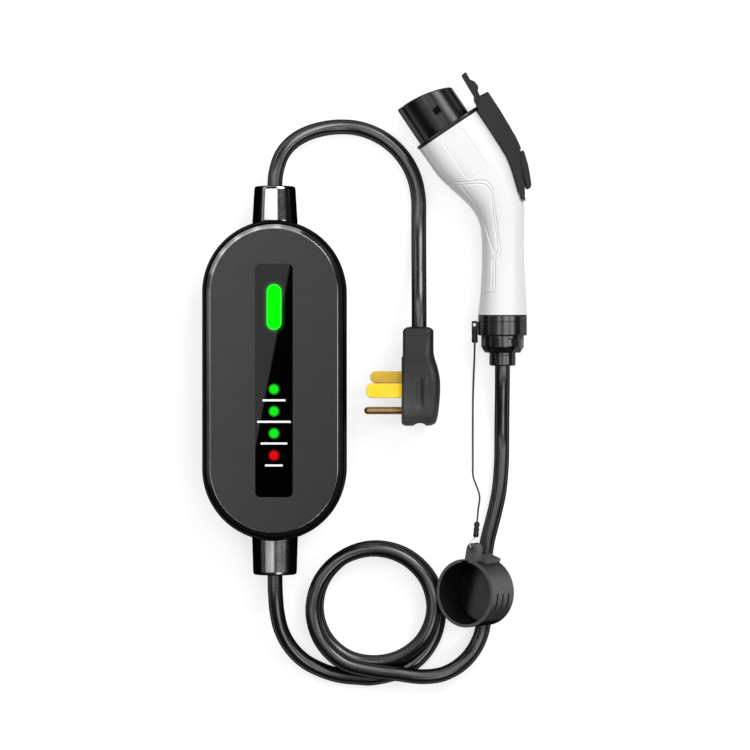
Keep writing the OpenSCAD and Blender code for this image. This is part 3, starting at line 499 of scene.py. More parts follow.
def slab(outline, z0, z1, edge=0.0, steps=4):
    """Rings of a plate with rounded edges."""
    o = turned_left(np.asarray(outline, float))
    if edge <= 0:
        return [flat(o, z0), flat(o, z1)]
    a = [k / steps * math.pi / 2 for k in range(steps + 1)]
    low = [flat(inset(o, edge * (1 - math.sin(t))), z0 + edge * (1 - math.cos(t))) for t in a]
    high = [flat(inset(o, edge * (1 - math.sin(t))), z1 - edge * (1 - math.cos(t))) for t in reversed(a)]
    return low + high


def prism(outline, z0, z1, edge=0.0, steps=4, at=None):
    return loft(slab(outline, z0, z1, edge, steps), at=at)


def block(x0, x1, y0, y1, r=0.0):
    p = [(x0, y0), (x1, y0), (x1, y1), (x0, y1)]
    return rounded(p, r) if r else np.array(p, float)


def ring_of(r, n, x, y):
    t = full_turn(n)
    return np.stack([x + r * np.cos(t), y + r * np.sin(t)], -1)


def stadium(r, n=72):
    t = np.linspace(0, math.pi, n + 1)
    top = np.stack([r * np.cos(t), END_Y + r * np.sin(t)], -1)
    return np.concatenate([top, -top])


def capsule(w, l, y, n=28):
    t = np.linspace(0, math.pi, n + 1)
    c = np.stack([w / 2 * np.cos(t), (l - w) / 2 + w / 2 * np.sin(t)], -1)
    return np.concatenate([c, -c]) + [0, y]


def soft_step(x, a, b):
    t = np.clip((x - a) / (b - a), 0, 1)
    return t * t * (3 - 2 * t)


# Box: gloss rim and side of the front cover
rim_curve = smooth_line(
    [(0, 42.6), (0.5, 44.3), (1.4, 45.7), (2.5, 46.85), (3.5, 47.66), (4.4, 48.28), (5.4, 48.96), (6.3, 49.56),
     (6.9, 49.95)], 4)
rim_profile = [(0.4, FRONT_LOW), (0, FRONT_LOW + 0.4)] + [tuple(p) for p in rim_curve] + [
    (RIM_IN + 0.3, 49.95), (RIM_IN + 0.3, 46.1), (WALL, 43.6), (WALL, FRONT_LOW)]
rim = loft([flat(stadium(BOX_R - d), z) for d, z in rim_profile], closed=True)
for side in (-1, 1):
    hole = loft(lathe([(13.1, 20), (13.1, 40)], 64))
    turn = Matrix.Rotation(math.radians(-90), 4, "X")
    hole.data.transform(Matrix.Translation((0, side * 0.09 - 0.03, AXIS_Z * MM)) @ turn)
    join(rim, hole)
piece(rim, "case_rim", [side_mat, rim_mat], ("front_cover",), sharp=38,
      which=lambda mid, out: (mid[:, 2] > 46.4) & (out[:, 2] > 0.3))

# Box: grained face with the window's pocket
face = prism(stadium(BOX_R - RIM_IN - 0.35), 46.8, BOX_T, 0.1, 2)
half_w, half_l = WIN_W / 2, WIN_L / 2
join(face, prism(block(-half_w - 0.1, half_w + 0.1, -half_l - 0.1, half_l + 0.1, 4.1), 48.25, 60))
join(face, prism(block(-half_w + 2, half_w - 2, -half_l + 2, half_l - 2, 2), 40, 49))
piece(face, "face_plate", [face_mat], ("front_cover",), sharp=30)


# Box: lights with domed lenses, and plain caption bars
def lens(outline):
    prof = [(-1.2, 47.25), (-1.2, 48.25), (0, 48.25), (0, 49.72), (0.12, 49.86), (0.35, 49.95), (0.9, 50.02),
            (2.0, 50.1), (3.2, 50.15)]
    return loft([flat(outline(-2 * d), z) for d, z in prof])


def lens_look(mid, out):
    return (mid[:, 2] > 49.7) & (mid[:, 2] < 49.99)


bar = lens(lambda w: capsule(BAR_W + w, BAR_L + w, BAR_Y))
piece(bar, "light_bar_lens", [green_mat, green_rim_mat], ("light_bar",), which=lens_look)
dots = [lens(lambda w: ring_of((DOT_D + w) / 2, 48, 0, y)) for y in DOTS]
piece(merged(dots[:3]), "green_lenses", [dot_mat, dot_rim_mat], ("status_lights_green",), which=lens_look)
piece(dots[3], "red_lens", [red_mat, red_rim_mat], ("status_light_red",), which=lens_look)
marks = [prism(block(-w / 2, w / 2, y - 0.8, y + 0.8, 0.5), WIN_TOP, WIN_TOP + 0.1) for y, w in (
    (-15.9, 18.6), (-33.1, 27.0), (-50.5, 21.5), (-68.1, 14.2))]
piece(merged(marks), "caption_bars", [mark_mat])


# Box: glands that hug the round ends
def gland(d0, d1, side):
    n = 128
    t = full_turn(n)

    def base(r):
        return END_Y + np.sqrt((BOX_R + 0.05) ** 2 - (r * np.cos(t)) ** 2)

    end = GLAND_END
    nose = rounded([(d0 / 2, 129.3), (d0 / 2 - 0.1, 131), (d1 / 2, end - 2.6), (d1 / 2 - 0.5, end), (6.3, end)],
                   [0, 1.0, 2.0, 1.6, 0], 6, closed=False)
    fl = END_Y + math.sqrt((BOX_R - WALL) ** 2 - 17 ** 2) - 0.3
    prof = [(d0 / 2, None)] + [tuple(p) for p in nose] + [
        (6.3, fl - 3), (17, fl - 3), (17, fl), (13, fl), (13, None)]
    rings = []
    for r, y in prof:
        yy = base(r) if y is None else np.full(n, y)
        rings.append(np.stack([r * np.cos(t) * side, side * yy, AXIS_Z + r * np.sin(t)], -1))
    return loft(rings, closed=True)


for d0, d1, side, name, mat in (
        (GLAND_D, GLAND_D - 3, 1, "mains_gland", gland_mat),
        (GLAND_D + 0.5, GLAND_D - 1, -1, "output_gland", gland2_mat)):
    piece(gland(d0, d1, side), name + "_fine", [mat], (name,), sharp=50)

# Box: screws with a cross recess, seen from behind
screw = loft(lathe([(2.55, 0.8), (2.9, 0.95), (3.0, 1.25), (3.0, 3.0), (1.45, 3.0), (1.45, 35.4)], 32))
for turn in (0, 1):
    arm = block(-1.9, 1.9, -0.45, 0.45)
    join(screw, prism(arm if turn == 0 else arm[:, ::-1], 0.2, 1.9))
sv = np.array([tuple(v.co) for v in screw.data.vertices]) / MM
sf = [tuple(f.vertices) for f in screw.data.polygons]
bpy.data.objects.remove(screw)
spots = [(x, y) for x in (-47, 47) for y in (-66, 0, 66)]
all_v = np.concatenate([sv + [x, y, 0] for x, y in spots])
all_f = [tuple(i + k * len(sv) for i in f) for k in range(len(spots)) for f in sf]
piece(raw(all_v, all_f), "cross_screws", [steel_mat], ("case_screws",))

# Gun shell
GUN_L = np.array([
    tuple((NOSE_C - NOSE_T * NOSE_A)[:2]), (124.8, 176.1), (131.6, 166.4), (139.4, 158.4), (147.5, 151),
    (154.6, 144.6), (159.4, 139.4), (162.9, 134), (165.3, 128.6), (166.8, 123), (167.7, 112.1), (167.8, 102.4),
    (167.4, 85.8), (166.4, 69.2), (164.55, 53.4)])
GUN_R = np.array([
    tuple((NOSE_C + NOSE_T * NOSE_A)[:2]), (171.2, 207), (177.6, 197.4), (184, 187.8), (189.4, 178.4),
    (194, 166.6), (197.6, 155.6), (200.4, 148.4), (202, 140.6), (202.1, 131), (201.9, 115), (202, 103),
    (202.6, 85.8), (203.6, 69.2), (204.45, 53.4)])
GUN_B = np.array([25, 24.9, 24.4, 23.6, 22.6, 21.3, 20.2, 19.4, 18.8, 18.1, 17.6, 17.6, 18, 18.9, 19.95])[:, None]
GUN_P = np.array([3, 3, 3, 2.9, 2.8, 2.7, 2.6, 2.5, 2.4, 2.3, 2.2, 2.2, 2.2, 2.1, 2])[:, None]
SHELL_WALL = 2.4
ZERO_X, ZERO_Y = 274.95, 380.4


def spline(v, u):
    """Values on a smooth line through the sections, at the given stations."""
    v = np.concatenate([[2 * v[0] - v[1]], v, [2 * v[-1] - v[-2]]])
    i = np.minimum(np.floor(u).astype(int), len(v) - 4)
    f = (u - i)[:, None]
    a, b, c, d = v[i], v[i + 1], v[i + 2], v[i + 3]
    return 0.5 * (2 * b + (c - a) * f + (2 * a - 5 * b + 4 * c - d) * f ** 2 + (3 * b - a - 3 * c + d) * f ** 3)


def traced(points):
    """Places traced over the picture, in millimetres on the floor plan."""
    return np.array([((x - ZERO_X) * PIXEL, (ZERO_Y - y) * PIXEL) for x, y in points])


def dense(points):
    return np.array(smooth_line(points, 6))


def near_line(q, line):
    best = np.full(len(q), 1e9)
    for a, b in zip(line, line[1:]):
        ab = b - a
        t = np.clip((q - a) @ ab / (ab @ ab), 0, 1)
        best = np.minimum(best, np.linalg.norm(q - a - t[:, None] * ab, axis=1))
    return best


def inside(q, loop):
    hit = np.zeros(len(q), bool)
    for a, b in zip(loop, np.roll(loop, -1, 0)):
        cross = (a[1] > q[:, 1]) != (b[1] > q[:, 1])
        x = a[0] + (q[:, 1] - a[1]) / (b[1] - a[1] if b[1] != a[1] else 1e-9) * (b[0] - a[0])
        hit ^= cross & (q[:, 0] < x)
    return hit


grip_outer = dense(traced([
    (446.8, 184.1), (462, 183.0), (474, 182.0), (481.6, 181.6), (486.5, 183.2), (490.3, 187.6), (491.6, 193.5),
    (494.6, 218), (498.0, 242.5), (498.9, 248), (498.4, 253), (494.5, 257.6), (493.8, 262), (493.4, 287.5),
    (491.6, 291.2), (481.6, 294.8)]))
grip_panel = dense(traced([
    (459.5, 185.4), (468, 184.9), (476.8, 184.3), (483.5, 185.4), (487.8, 189.0), (489.8, 194.0), (492.6, 218),
    (495.8, 240.5), (496.2, 249.8), (493.6, 253.6), (491.2, 247.5), (487.8, 236.8), (482.3, 221.5), (472.6, 202.8),
    (466.5, 195), (461.2, 187.8), (459.5, 185.4)]))
grip_strip = dense(traced([(446.8, 186.4), (453, 186.0), (459.5, 185.4)]))
grip_low = dense(traced([(492.2, 258.8), (491.4, 266), (491.1, 286), (489.8, 289.4)]))
LABEL_S, LABEL_T, LABEL_HALF, LABEL_WIDE, LABEL_R = -23.3, -1.0, 20.0, 9.6, 5.0


def label_line(q):
    """Distance outside the rounded label place on the gun's nose."""
    d = q - NOSE_C[:2]
    s, t = d @ NOSE_F[:2] - LABEL_S, d @ NOSE_T[:2] - LABEL_T
    x, y = np.abs(s) - LABEL_HALF + LABEL_R, np.abs(t) - LABEL_WIDE + LABEL_R
    core = np.minimum(np.maximum(x, y), 0)
    return np.hypot(np.maximum(x, 0), np.maximum(y, 0)) + core - LABEL_R


def groove(d, half, depth):
    return -depth * np.clip(1 - (d / half) ** 2, 0, 1) ** 1.5


def gun_half(side, stations, around):
    u = np.linspace(0, len(GUN_B) - 1, stations)
    lo, hi, deep, power = (spline(v, u) for v in (GUN_L, GUN_R, GUN_B, GUN_P))
    mid, arm = (lo + hi) / 2, (hi - lo) / 2
    half = np.linalg.norm(arm, axis=1)[:, None]
    th = np.linspace(0, math.pi, 721)

    def skin(wall, count):
        cx = np.sign(np.cos(th)) * np.abs(np.cos(th)) ** (2 / power)
        sz = np.abs(np.sin(th)) ** (2 / power)
        sz[:, 0] = sz[:, -1] = 0
        xx, zz = (half - wall) * cx, (deep - wall) * sz
        step = np.hypot(np.diff(xx), np.diff(zz))
        run = np.concatenate([np.zeros((stations, 1)), np.cumsum(step, 1)], 1)
        f = np.linspace(0, 1, count)
        px, pz = (np.array([np.interp(f * r[-1], r, v) for r, v in zip(run, vv)]) for vv in (xx, zz))
        plan = mid[:, None] + arm[:, None] * (px / half)[..., None]
        return np.concatenate([plan, (side * (0.05 + pz))[..., None]], -1)

    outer, inner = skin(0.0, around), skin(SHELL_WALL, 20)
    n = np.cross(np.gradient(outer, axis=0), np.gradient(outer, axis=1))
    n /= np.maximum(np.linalg.norm(n, axis=-1), 1e-9)[..., None]
    centre = np.concatenate([mid, np.zeros((stations, 1))], 1)[:, None]
    n *= np.sign(np.sum(n * (outer - centre), -1))[..., None]
    q = outer[..., :2].reshape(-1, 2)
    h = np.zeros(len(q))
    for line in (grip_outer, grip_panel, grip_strip, grip_low):
        h = np.minimum(h, groove(near_line(q, line), 0.75, 0.55))
    h -= 0.16 * inside(q, grip_panel[:-1])
    if side > 0:
        d = label_line(q)
        h = np.minimum(h, groove(np.abs(d), 0.6, 0.4))
        h -= 0.22 * soft_step(-d, 0.2, 0.8)
    h *= soft_step(np.abs(outer[..., 2]).reshape(-1), 0.4, 2.5)
    h -= 0.3 * np.clip(1 - np.abs(outer[..., 2]).reshape(-1) / 0.7, 0, 1) ** 2
    outer = outer + n * h.reshape(stations, around)[..., None]
    m, k = around, inner.shape[1]
    pts = np.concatenate([outer.reshape(-1, 3), inner.reshape(-1, 3)])
    off = stations * m
    faces = []
    for i in range(stations - 1):
        a, b, c, d = i * m, (i + 1) * m, off + i * k, off + (i + 1) * k
        faces += [(a + j, a + j + 1, b + j + 1, b + j) for j in range(m - 1)]
        faces += [(c + j, d + j, d + j + 1, c + j + 1) for j in range(k - 1)]
        faces += [(a, b, d, c), (a + m - 1, c + k - 1, d + k - 1, b + m - 1)]
    for i in (0, stations - 1):
        ring = [i * m + j for j in range(m)] + [off + i * k + j for j in reversed(range(k))]
        faces.append(tuple(ring))
    return raw(gun_at(pts), faces)


for side, count, name, node in (
        (1, (380, 190), "shell_near_moulded", "gun_shell_near"),
        (-1, (220, 110), "shell_far_moulded", "gun_shell_far")):
    piece(gun_half(side, *count), name, [white_mat], (node,), sharp=55)


# Gun nozzle with its flange, key rib and square hole
def oval(a, b, n=96, p=3.0):
    t = full_turn(n)
    c, s = np.cos(t), np.sin(t)
    return np.stack([a * np.sign(c) * np.abs(c) ** (2 / p), b * np.sign(s) * np.abs(s) ** (2 / p)], -1)


def tip(x):
    return NOZZLE_L - 120 + np.sqrt(122.0 ** 2 - (x + 24.9) ** 2)


rib_a = math.asin(2.6 / NOZZLE_R)
arc = np.linspace(-math.pi + rib_a, math.pi - rib_a, 120)
barrel = [(NOZZLE_R * math.cos(a), NOZZLE_R * math.sin(a)) for a in arc]
rib = rounded([barrel[-1], (-NOZZLE_R - 3.4, 2.6), (-NOZZLE_R - 3.4, -2.6), barrel[0]], 0.7, 4, closed=False)
barrel = turned_left(np.array(barrel + [tuple(p) for p in rib[1:-1]]))
polar = np.arctan2(barrel[:, 1], barrel[:, 0])
bore = (NOZZLE_R - NOZZLE_WALL) * np.stack([np.cos(polar), np.sin(polar)], -1)
rings = [flat(barrel, 1.0)]
for k in range(7):
    t = k / 6 * math.pi / 2
    p = inset(barrel, 1.2 * (1 - math.cos(t)))
    rings.append(np.column_stack([p, tip(p[:, 0]) - 1.2 * (1 - math.sin(t))]))
bore_end = tip(bore[:, 0])
rings += [np.column_stack([bore, bore_end - 0.25]), np.column_stack([bore * 0.994, bore_end - 0.7])]
rings.append(flat(bore * 0.994, 1.0))
nozzle = loft(rings, closed=True, at=nose_at)
flange = prism(oval(NOSE_A + 0.8, FLANGE_B), FLANGE_LOW, 3.2, 0.7, at=nose_at)
join(flange, loft(lathe([(NOZZLE_R - NOZZLE_WALL, -2), (NOZZLE_R - NOZZLE_WALL, 8)], 128), at=nose_at))
join(nozzle, flange, "UNION")
join(nozzle, prism(block(-2.9, 2.9, -NOZZLE_R - 2, -NOZZLE_R + 6), 15.4, 21.0, at=nose_at))
piece(nozzle, "nozzle_moulded", [nozzle_mat], ("nozzle",), sharp=40)

# Gun top cover over the latch
PIVOT_S, PIVOT_T, SPRING_S = -18, 6.3, -36.0
wall_side = [
    (8.1, 15.2), (9, 7.4), (3.8, 1.9), (0.4, 0), (-0.4, -1.1), (-43, -1.3), (-54, -3.6), (-65, -7.2), (-73, -9.8),
    (-82, -11.2), (-77, -5.9), (-70, -2), (-60, 2.6), (-50, 7.4), (-46, 10.4), (-44.3, 12), (-34.7, 13.6),
    (-23, 14.3), (-9.8, 15)]
cover = prism(rounded(wall_side, 1.2, 4), -15, 15, 0.9, at=latch_at)
under = [(16, 13), (8.4, 13), (-9.8, 12.8), (-23, 12.1), (-34.7, 11.4), (-44.3, 9.8), (-44.4, 18), (-90, 18),
         (-90, -16), (16, -16)]
join(cover, prism(under, -13, 13, at=latch_at))
join(cover, prism(ring_of(2.02, 40, PIVOT_S, PIVOT_T), -14.4, 14.4, at=latch_at))
join(cover, prism([(-78, -6.9), (-81.6, -8.5), (-80, -8.2), (-78.4, -7.8)], -14, 14, at=latch_at), "UNION")
piece(cover, "cover_moulded", [black_mat], ("top_cover",), sharp=40)

# Gun latch lever, the only piece that turns
arm_side = [
    (31.5, 9.2), (31.1, 5.3), (11.3, 4.3), (8.5, 2.4), (4.2, 2), (-4, 3.2), (-40, 3.2), (-46, 4.4), (-50, 4),
    (-50, 10.6), (-45.8, 8.4), (-40, 8.4), (-5, 9.2), (8, 8.2), (11.5, 9.1), (13.2, 9.2), (14.4, 10.6), (16.4, 11.8),
    (21, 11.4), (24.3, 9.3), (30.8, 9.8)]
pad_side = [
    (-46.6, 5.2), (-54, 3), (-65, 0.4), (-73.5, -2), (-75.5, -1.6), (-75.4, 0.8), (-73.6, 2.9), (-66, 6.5),
    (-58.7, 9.6), (-50, 12.4), (-47.5, 12.9), (-46.6, 12)]
lever = prism(rounded(arm_side, 0.8, 3), -5.5, 5.5, 0.6, at=latch_at)
join(lever, prism(rounded(pad_side, 1.0, 3), -10, 10, 0.9, at=latch_at), "UNION")
join(lever, prism(ring_of(4.4, 48, PIVOT_S, PIVOT_T), -5.45, 5.45, 0.4, at=latch_at), "UNION")
join(lever, prism(ring_of(2.05, 40, PIVOT_S, PIVOT_T), -7, 7, at=latch_at))
join(lever, loft(turned([(3.2, -6), (3.2, 6.2)], 40, "y", [SPRING_S, 0, 0]), at=latch_at))
piece(lever, "latch_moulded", [black_mat], ("latch_lever",), body="latch", sharp=40)

# Gun latch spring: wound wire of one fixed length, which does not shorten with the lever
SPRING_R, WIRE_R, SPRING_LOW, SPRING_HIGH, SPRING_TURNS = 2.2, 0.4, 0.9, 5.7, 4
wire_a = full_turn(12)
spring_rings = []
for u in np.linspace(0, 1, 32 * SPRING_TURNS + 1):
    a = 2 * math.pi * SPRING_TURNS * u
    height = SPRING_HIGH - SPRING_LOW
    out = np.array([math.cos(a), 0.0, -math.sin(a)])
    middle = np.array([SPRING_S, SPRING_LOW + height * u, 0]) + SPRING_R * out
    along = np.array([-SPRING_R * math.sin(a), height / (2 * math.pi * SPRING_TURNS), -SPRING_R * math.cos(a)])
    up = np.cross(out, along / np.linalg.norm(along))
    spring_rings.append(middle + WIRE_R * (np.cos(wire_a)[:, None] * out + np.sin(wire_a)[:, None] * up))
spring = piece(loft(spring_rings, at=latch_at), "spring_wound", [steel_mat], ("latch_spring",), sharp=60)
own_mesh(spring)

# Gun handle end: collar, fluted nut, sleeve
COLLAR_LOW, COLLAR_TOP, NUT_LOW, SLEEVE_LOW = 36.5, 53.3, 22.7, 12.0
HR = HANDLE_D / 2
collar = rounded(
    [(BORE_R, COLLAR_LOW), (HR - 0.4, COLLAR_LOW), (HR, COLLAR_LOW + 1), (HR, 47.6), (HR - 0.35, 47.8),
     (HR - 0.35, 48.1), (HR, 48.3), (HR, 52.5), (HR - 0.6, COLLAR_TOP), (HR - 3.6, COLLAR_TOP),
     (HR - 4.2, COLLAR_TOP + 8), (BORE_R, COLLAR_TOP + 8)],
    [0.2, 0.5, 0.6] + [0.1] * 4 + [0.5, 0.3, 0.2, 0.3, 0.2], 4)
piece(loft(lathe(collar, 144), closed=True, at=handle_at), "collar_fine", [collar_mat],
      ("handle_collar",), sharp=40)
nut_r = HANDLE_D * 0.435
nut_side = rounded([(nut_r - 2.7, NUT_LOW), (nut_r, NUT_LOW + 4.8), (nut_r, COLLAR_LOW)], [0, 2.0, 0], 6, closed=False)
nut_z = np.unique(np.concatenate([
    np.linspace(NUT_LOW, COLLAR_LOW, 40), np.linspace(24.4, 25.6, 8), np.linspace(33.4, 34.4, 8)]))
NUT_N = 288
t = full_turn(NUT_N)
off_flute = (t + math.pi / 8) % (math.pi / 4) - math.pi / 8
spin = t + math.pi / 8
nut_bore = np.stack([BORE_R * np.cos(spin), BORE_R * np.sin(spin), np.zeros(NUT_N)], -1)
nut_rings = [nut_bore + [0, 0, NUT_LOW]]
for z in nut_z:
    r = np.interp(z, nut_side[:, 1], nut_side[:, 0]) - (0.4 if z >= COLLAR_LOW - 0.01 else 0)
    deep = soft_step(z, 24.6, 25.3) * (1 - soft_step(z, 33.5, 34.2))
    wide = 1 - soft_step(np.abs(r * np.sin(off_flute)), 2.3, 3.1)
    rr = r - 2.2 * deep * wide
    nut_rings.append(np.stack([rr * np.cos(spin), rr * np.sin(spin), np.full(NUT_N, z)], -1))
nut_rings.append(nut_bore + [0, 0, COLLAR_LOW])
piece(loft(nut_rings, closed=True, at=handle_at), "nut_fluted", [collar_mat], ("clamp_nut",), sharp=40)
sleeve = rounded(
    [(BORE_R, SLEEVE_LOW), (10.1, SLEEVE_LOW), (10.7, SLEEVE_LOW + 1), (10.7, 20.2), (10.3, 20.4), (10.3, 20.9),
     (10.7, 21.1), (10.7, NUT_LOW), (BORE_R, NUT_LOW)], [0.3, 0.6, 0.8] + [0.1] * 4 + [0.2] * 2, 4)
piece(loft(lathe(sleeve, 112), closed=True, at=handle_at), "sleeve_fine", [collar_mat],
      ("gland_sleeve",), sharp=40)

# Lanyard clip on the collar, crimp and wire link
clip = prism(block(CLIP_X - 2.5, CLIP_X + 2.5, 40.4, 48.3, 1.1), -1.6, 1.6, 0.35, 3, at=gun_at)
barrel_side = rounded(
    [(2.1, 30.6), (2.5, 31.2), (2.5, 35.5), (2.2, 35.8), (2.2, 36.3), (2.5, 36.6), (2.5, 41.2), (2.1, 41.6)],
    0.25, 3, closed=False)
join(clip, loft(turned(barrel_side, 48, "y", [CLIP_X, 0, 0]), at=gun_at), "UNION")
join(clip, prism(ring_of(1.25, 32, CLIP_X - 0.3, 45.2), -5, 5, at=gun_at))
join(clip, loft(turned([(1.3, 29), (1.3, 35)], 32, "y", [CLIP_X, 0, 0]), at=gun_at))
piece(clip, "clip_moulded", [black_mat], ("lanyard_clip",), sharp=40)
CRIMP_FRAME = np.array(Vector(CRIMP_DIR).to_track_quat("Z", "Y").to_matrix())


def crimp_at(p):
    return np.asarray(p) @ CRIMP_FRAME.T + CRIMP_LOW


crimp_side = rounded(
    [(1.2, 0), (2.0, 0), (2.3, 0.6), (2.3, 3.4), (1.9, 4.0), (1.9, 5.0), (2.3, 5.6), (2.3, 7.4), (1.9, 8.0), (1.9, 9.0),
     (2.3, 9.6), (2.3, 12.0), (2.0, 12.6), (0.95, 12.6), (0.95, 7.6), (1.2, 4)],
    [0.1] + [0.3] * 12 + [0.1, 0, 0], 3)
crimp = loft(lathe(crimp_side, 40), closed=True, at=crimp_at)
piece(crimp, "crimp_fine", [black_mat], ("lanyard_crimp",), sharp=40)
link_axis = np.array([-math.sin(CAP_TILT), 0, math.cos(CAP_TILT)])
link_v = CRIMP_DIR - link_axis * (link_axis @ CRIMP_DIR)
link_w = link_v / np.linalg.norm(link_v)


def link_half(s):
    top, low = ((0.5, 2.6), (0.5, 0.4), (0.7, -0.8)), ((4.95, 5.6), (4.95, 2.2), (4.7, 1.6), (4.1, 1.3))
    first = [CRIMP_LOW + link_axis * s * a + CRIMP_DIR * b for a, b in top]
    return first + [HOLE_AT + link_axis * s * a + link_w * b for a, b in low]


tube("link_bent", link_half(1) + link_half(-1)[::-1], 0.9, steel_mat, "wire_link", 4)


# Plug: rounded body with a domed neck, and a dent beside a ridge
def quarter(x, z, r, start):
    """Quarter of a circle, turning right from the start in quarter turns."""
    return [(x + r * math.cos(a), z + r * math.sin(a)) for a in (start - np.linspace(0, 1, 9)) * math.pi / 2]


def droop(u):
    """Fall of a rounded end, from 0 where it starts to 1 at its tip."""
    return 1 - math.sqrt(max(0.0, 1 - u ** 2))


def across(y, line):
    return np.interp(y, line[:, 1], line[:, 0])


PLUG_H = PLUG_T / 2
left_line = np.array([(0.05, -36.5), (0, -35), (0, 19.2), (0.03, 19.8), (0.03, 43.4)])
right_line = dense([
    (0.78, -36.5), (0.87, -34.6), (0.93, -29.6), (0.965, -22), (0.99, -14.3), (1, -5.8), (0.99, 1.9), (0.94, 10),
    (0.87, 17.3), (0.845, 20.6), (0.835, 24), (0.835, 43.4)])
half_line = dense([
    (PLUG_H - 9, -36.5), (PLUG_H - 5.4, -34), (PLUG_H - 1.8, -29), (PLUG_H, -22), (PLUG_H, -7), (PLUG_H - 1.2, 2),
    (PLUG_H - 4.2, 11), (18.4, 20), (15.0, 28), (13.6, 34), (13.2, 43.4)])
TOE_Y, TOE_L, DOME_Y, DOME_L = -34, 2.5, 39.4, 4
DENT_X, RIDGE_X, NOTCH_R, NOTCH_AT = 116.7, 121.2, 7.4, (117, -41.6)
plug_ys = np.concatenate([
    np.linspace(TOE_Y - TOE_L, TOE_Y, 10), np.linspace(-33.4, 38.9, 110),
    DOME_Y + DOME_L * np.sin(np.linspace(0, 1, 14) * math.pi / 2)])
plug_rings = []
for y in plug_ys:
    x0, x1 = (PLUG_X + across(y, line) * PLUG_DEPTH for line in (left_line, right_line))
    hz = min(across(y, half_line), PLUG_H)
    if y > DOME_Y:
        drop = droop((y - DOME_Y) / DOME_L)
        x0, x1, hz = x0 + 6.2 * drop, x1 - 6.2 * drop, hz - 4.5 * drop
    if y < TOE_Y:
        drop = droop((TOE_Y - y) / TOE_L)
        x0, x1, hz = x0 + 1.4 * drop, x1 - 1.2 * drop, hz - 1.2 * drop
    rl, rr = 2.2, min(7.0, 0.3 * (x1 - x0), 0.4 * hz)
    top_x = np.linspace(x0 + rl, x1 - rr, 50)
    ring = [(x, hz) for x in top_x[:-1]] + quarter(x1 - rr, hz - rr, rr, 1)
    ring += [(x1, z) for z in np.linspace(hz - rr, -hz + rr, 14)[1:-1]] + quarter(x1 - rr, -hz + rr, rr, 0)
    ring += [(x, -hz) for x in top_x[::-1][1:-1]] + quarter(x0 + rl, -hz + rl, rl, -1)
    ring += [(x0, z) for z in np.linspace(-hz + rl, hz - rl, 14)[1:-1]] + quarter(x0 + rl, hz - rl, rl, -2)[:-1]
    ring = np.array(ring)
    dent = soft_step(y, -24.5, -18.0) * (1 - soft_step(y, -3.0, 4.6))
    off_dent, off_ridge = np.abs(ring[:, 0] - DENT_X), np.abs(ring[:, 0] - RIDGE_X)
    shape = -1.3 * (1 - soft_step(off_dent, 0.2, 3.6)) + 0.6 * (1 - soft_step(off_ridge, 0.3, 3.2))
    ring[:, 1] += np.where(ring[:, 1] > hz - 0.5, shape * dent, 0)
    plug_rings.append(np.column_stack([ring[:, 0], np.full(len(ring), y), PLUG_Z + ring[:, 1]]))
plug = loft(plug_rings)
join(plug, loft(turned([(BORE_R, 29.4), (BORE_R, 50)], 64, "y", [PLUG_CX, 0, PLUG_Z])))
join(plug, prism(ring_of(NOTCH_R, 72, *NOTCH_AT), -5, 60))
for z, y0, y1 in ((-HOT_Z, -14.2, -2.4), (HOT_Z, -14.2, -2.4), (0, -2.35, 7.5)):
    join(plug, prism(block(PLUG_X - 1, PLUG_X + 8.1, y0, y1), PLUG_Z + z - 1.25, PLUG_Z + z + 1.25))
join(plug, loft(turned([(3.15, PLUG_X - 1), (3.15, PLUG_X + 8.1)], 40, "x", [0, PIN_Y, PLUG_Z])))
piece(plug, "plug_moulded", [plug_mat], ("plug_body",), sharp=38)


def blade(y0, y1, x1, z):
    root = PLUG_X + 8
    side = rounded([(root, y0), (root, y1), (x1 + 3, y1), (x1, y1 - 3), (x1, y0 + 3), (x1 + 3, y0)],
                   [0, 0, 1.4, 1.4, 1.4, 1.4], 5)
    return prism(side, z - 1.2, z + 1.2, 0.5, 3)


hot = join(blade(-14.1, -2.5, 74, PLUG_Z - HOT_Z), blade(-14.1, -2.5, 74, PLUG_Z + HOT_Z), "UNION")
piece(hot, "hot_blades_fine", [hot_mat], ("hot_blades",), sharp=40)
piece(blade(-2.3, 7.4, 77.3, PLUG_Z), "neutral_blade_fine", [neutral_mat], ("neutral_blade",), sharp=40)
pin_side = [(3.1, 110.6), (3.1, 75.6)] + [
    (3.1 * math.sqrt(max(0.0, 1 - (u / 3.4) ** 2)) + 0.02, 75.6 - u) for u in np.linspace(0.3, 3.38, 10)]
piece(loft(turned(pin_side, 56, "x", [0, PIN_Y, PLUG_Z])), "ground_pin_fine", [pin_mat],
      ("ground_pin",), sharp=45)


# Materials of the carried-over nodes
looks = {
    side_mat: ["rear_cover"],
    seal_mat: ["case_seal", "flange_seal"],
    steel_mat: ["shell_posts", "latch_pin"],
    window_mat: ["display_window"],
    board_mat: ["indicator_board", "main_board"],
    inner_mat: ["relays", "current_sensor", "power_module", "cable_clamps"],
    insert_mat: ["contact_insert"],
    cap_mat: ["dust_cap"],
    pin_mat: ["power_contacts", "earth_contact", "signal_contacts"],
}
for m, names in looks.items():
    for name in names:
        slots = nodes[name].data.materials
        slots.clear()
        slots.append(m)

# Dust cap: painted shade inside it and in the slots, a painted highlight band on its outer wall, painted light on one
# side of its floor
ct = cap_mat.node_tree


def cap_vector(op, a, b=(0, 0, 0)):
    return add(ct, "VectorMath", {0: a, 1: b}, operation=op).outputs


def cap_step(value, first, last, low=0.0, high=1.0):
    return ranged(ct, value, first * MM, last * MM, low, high)


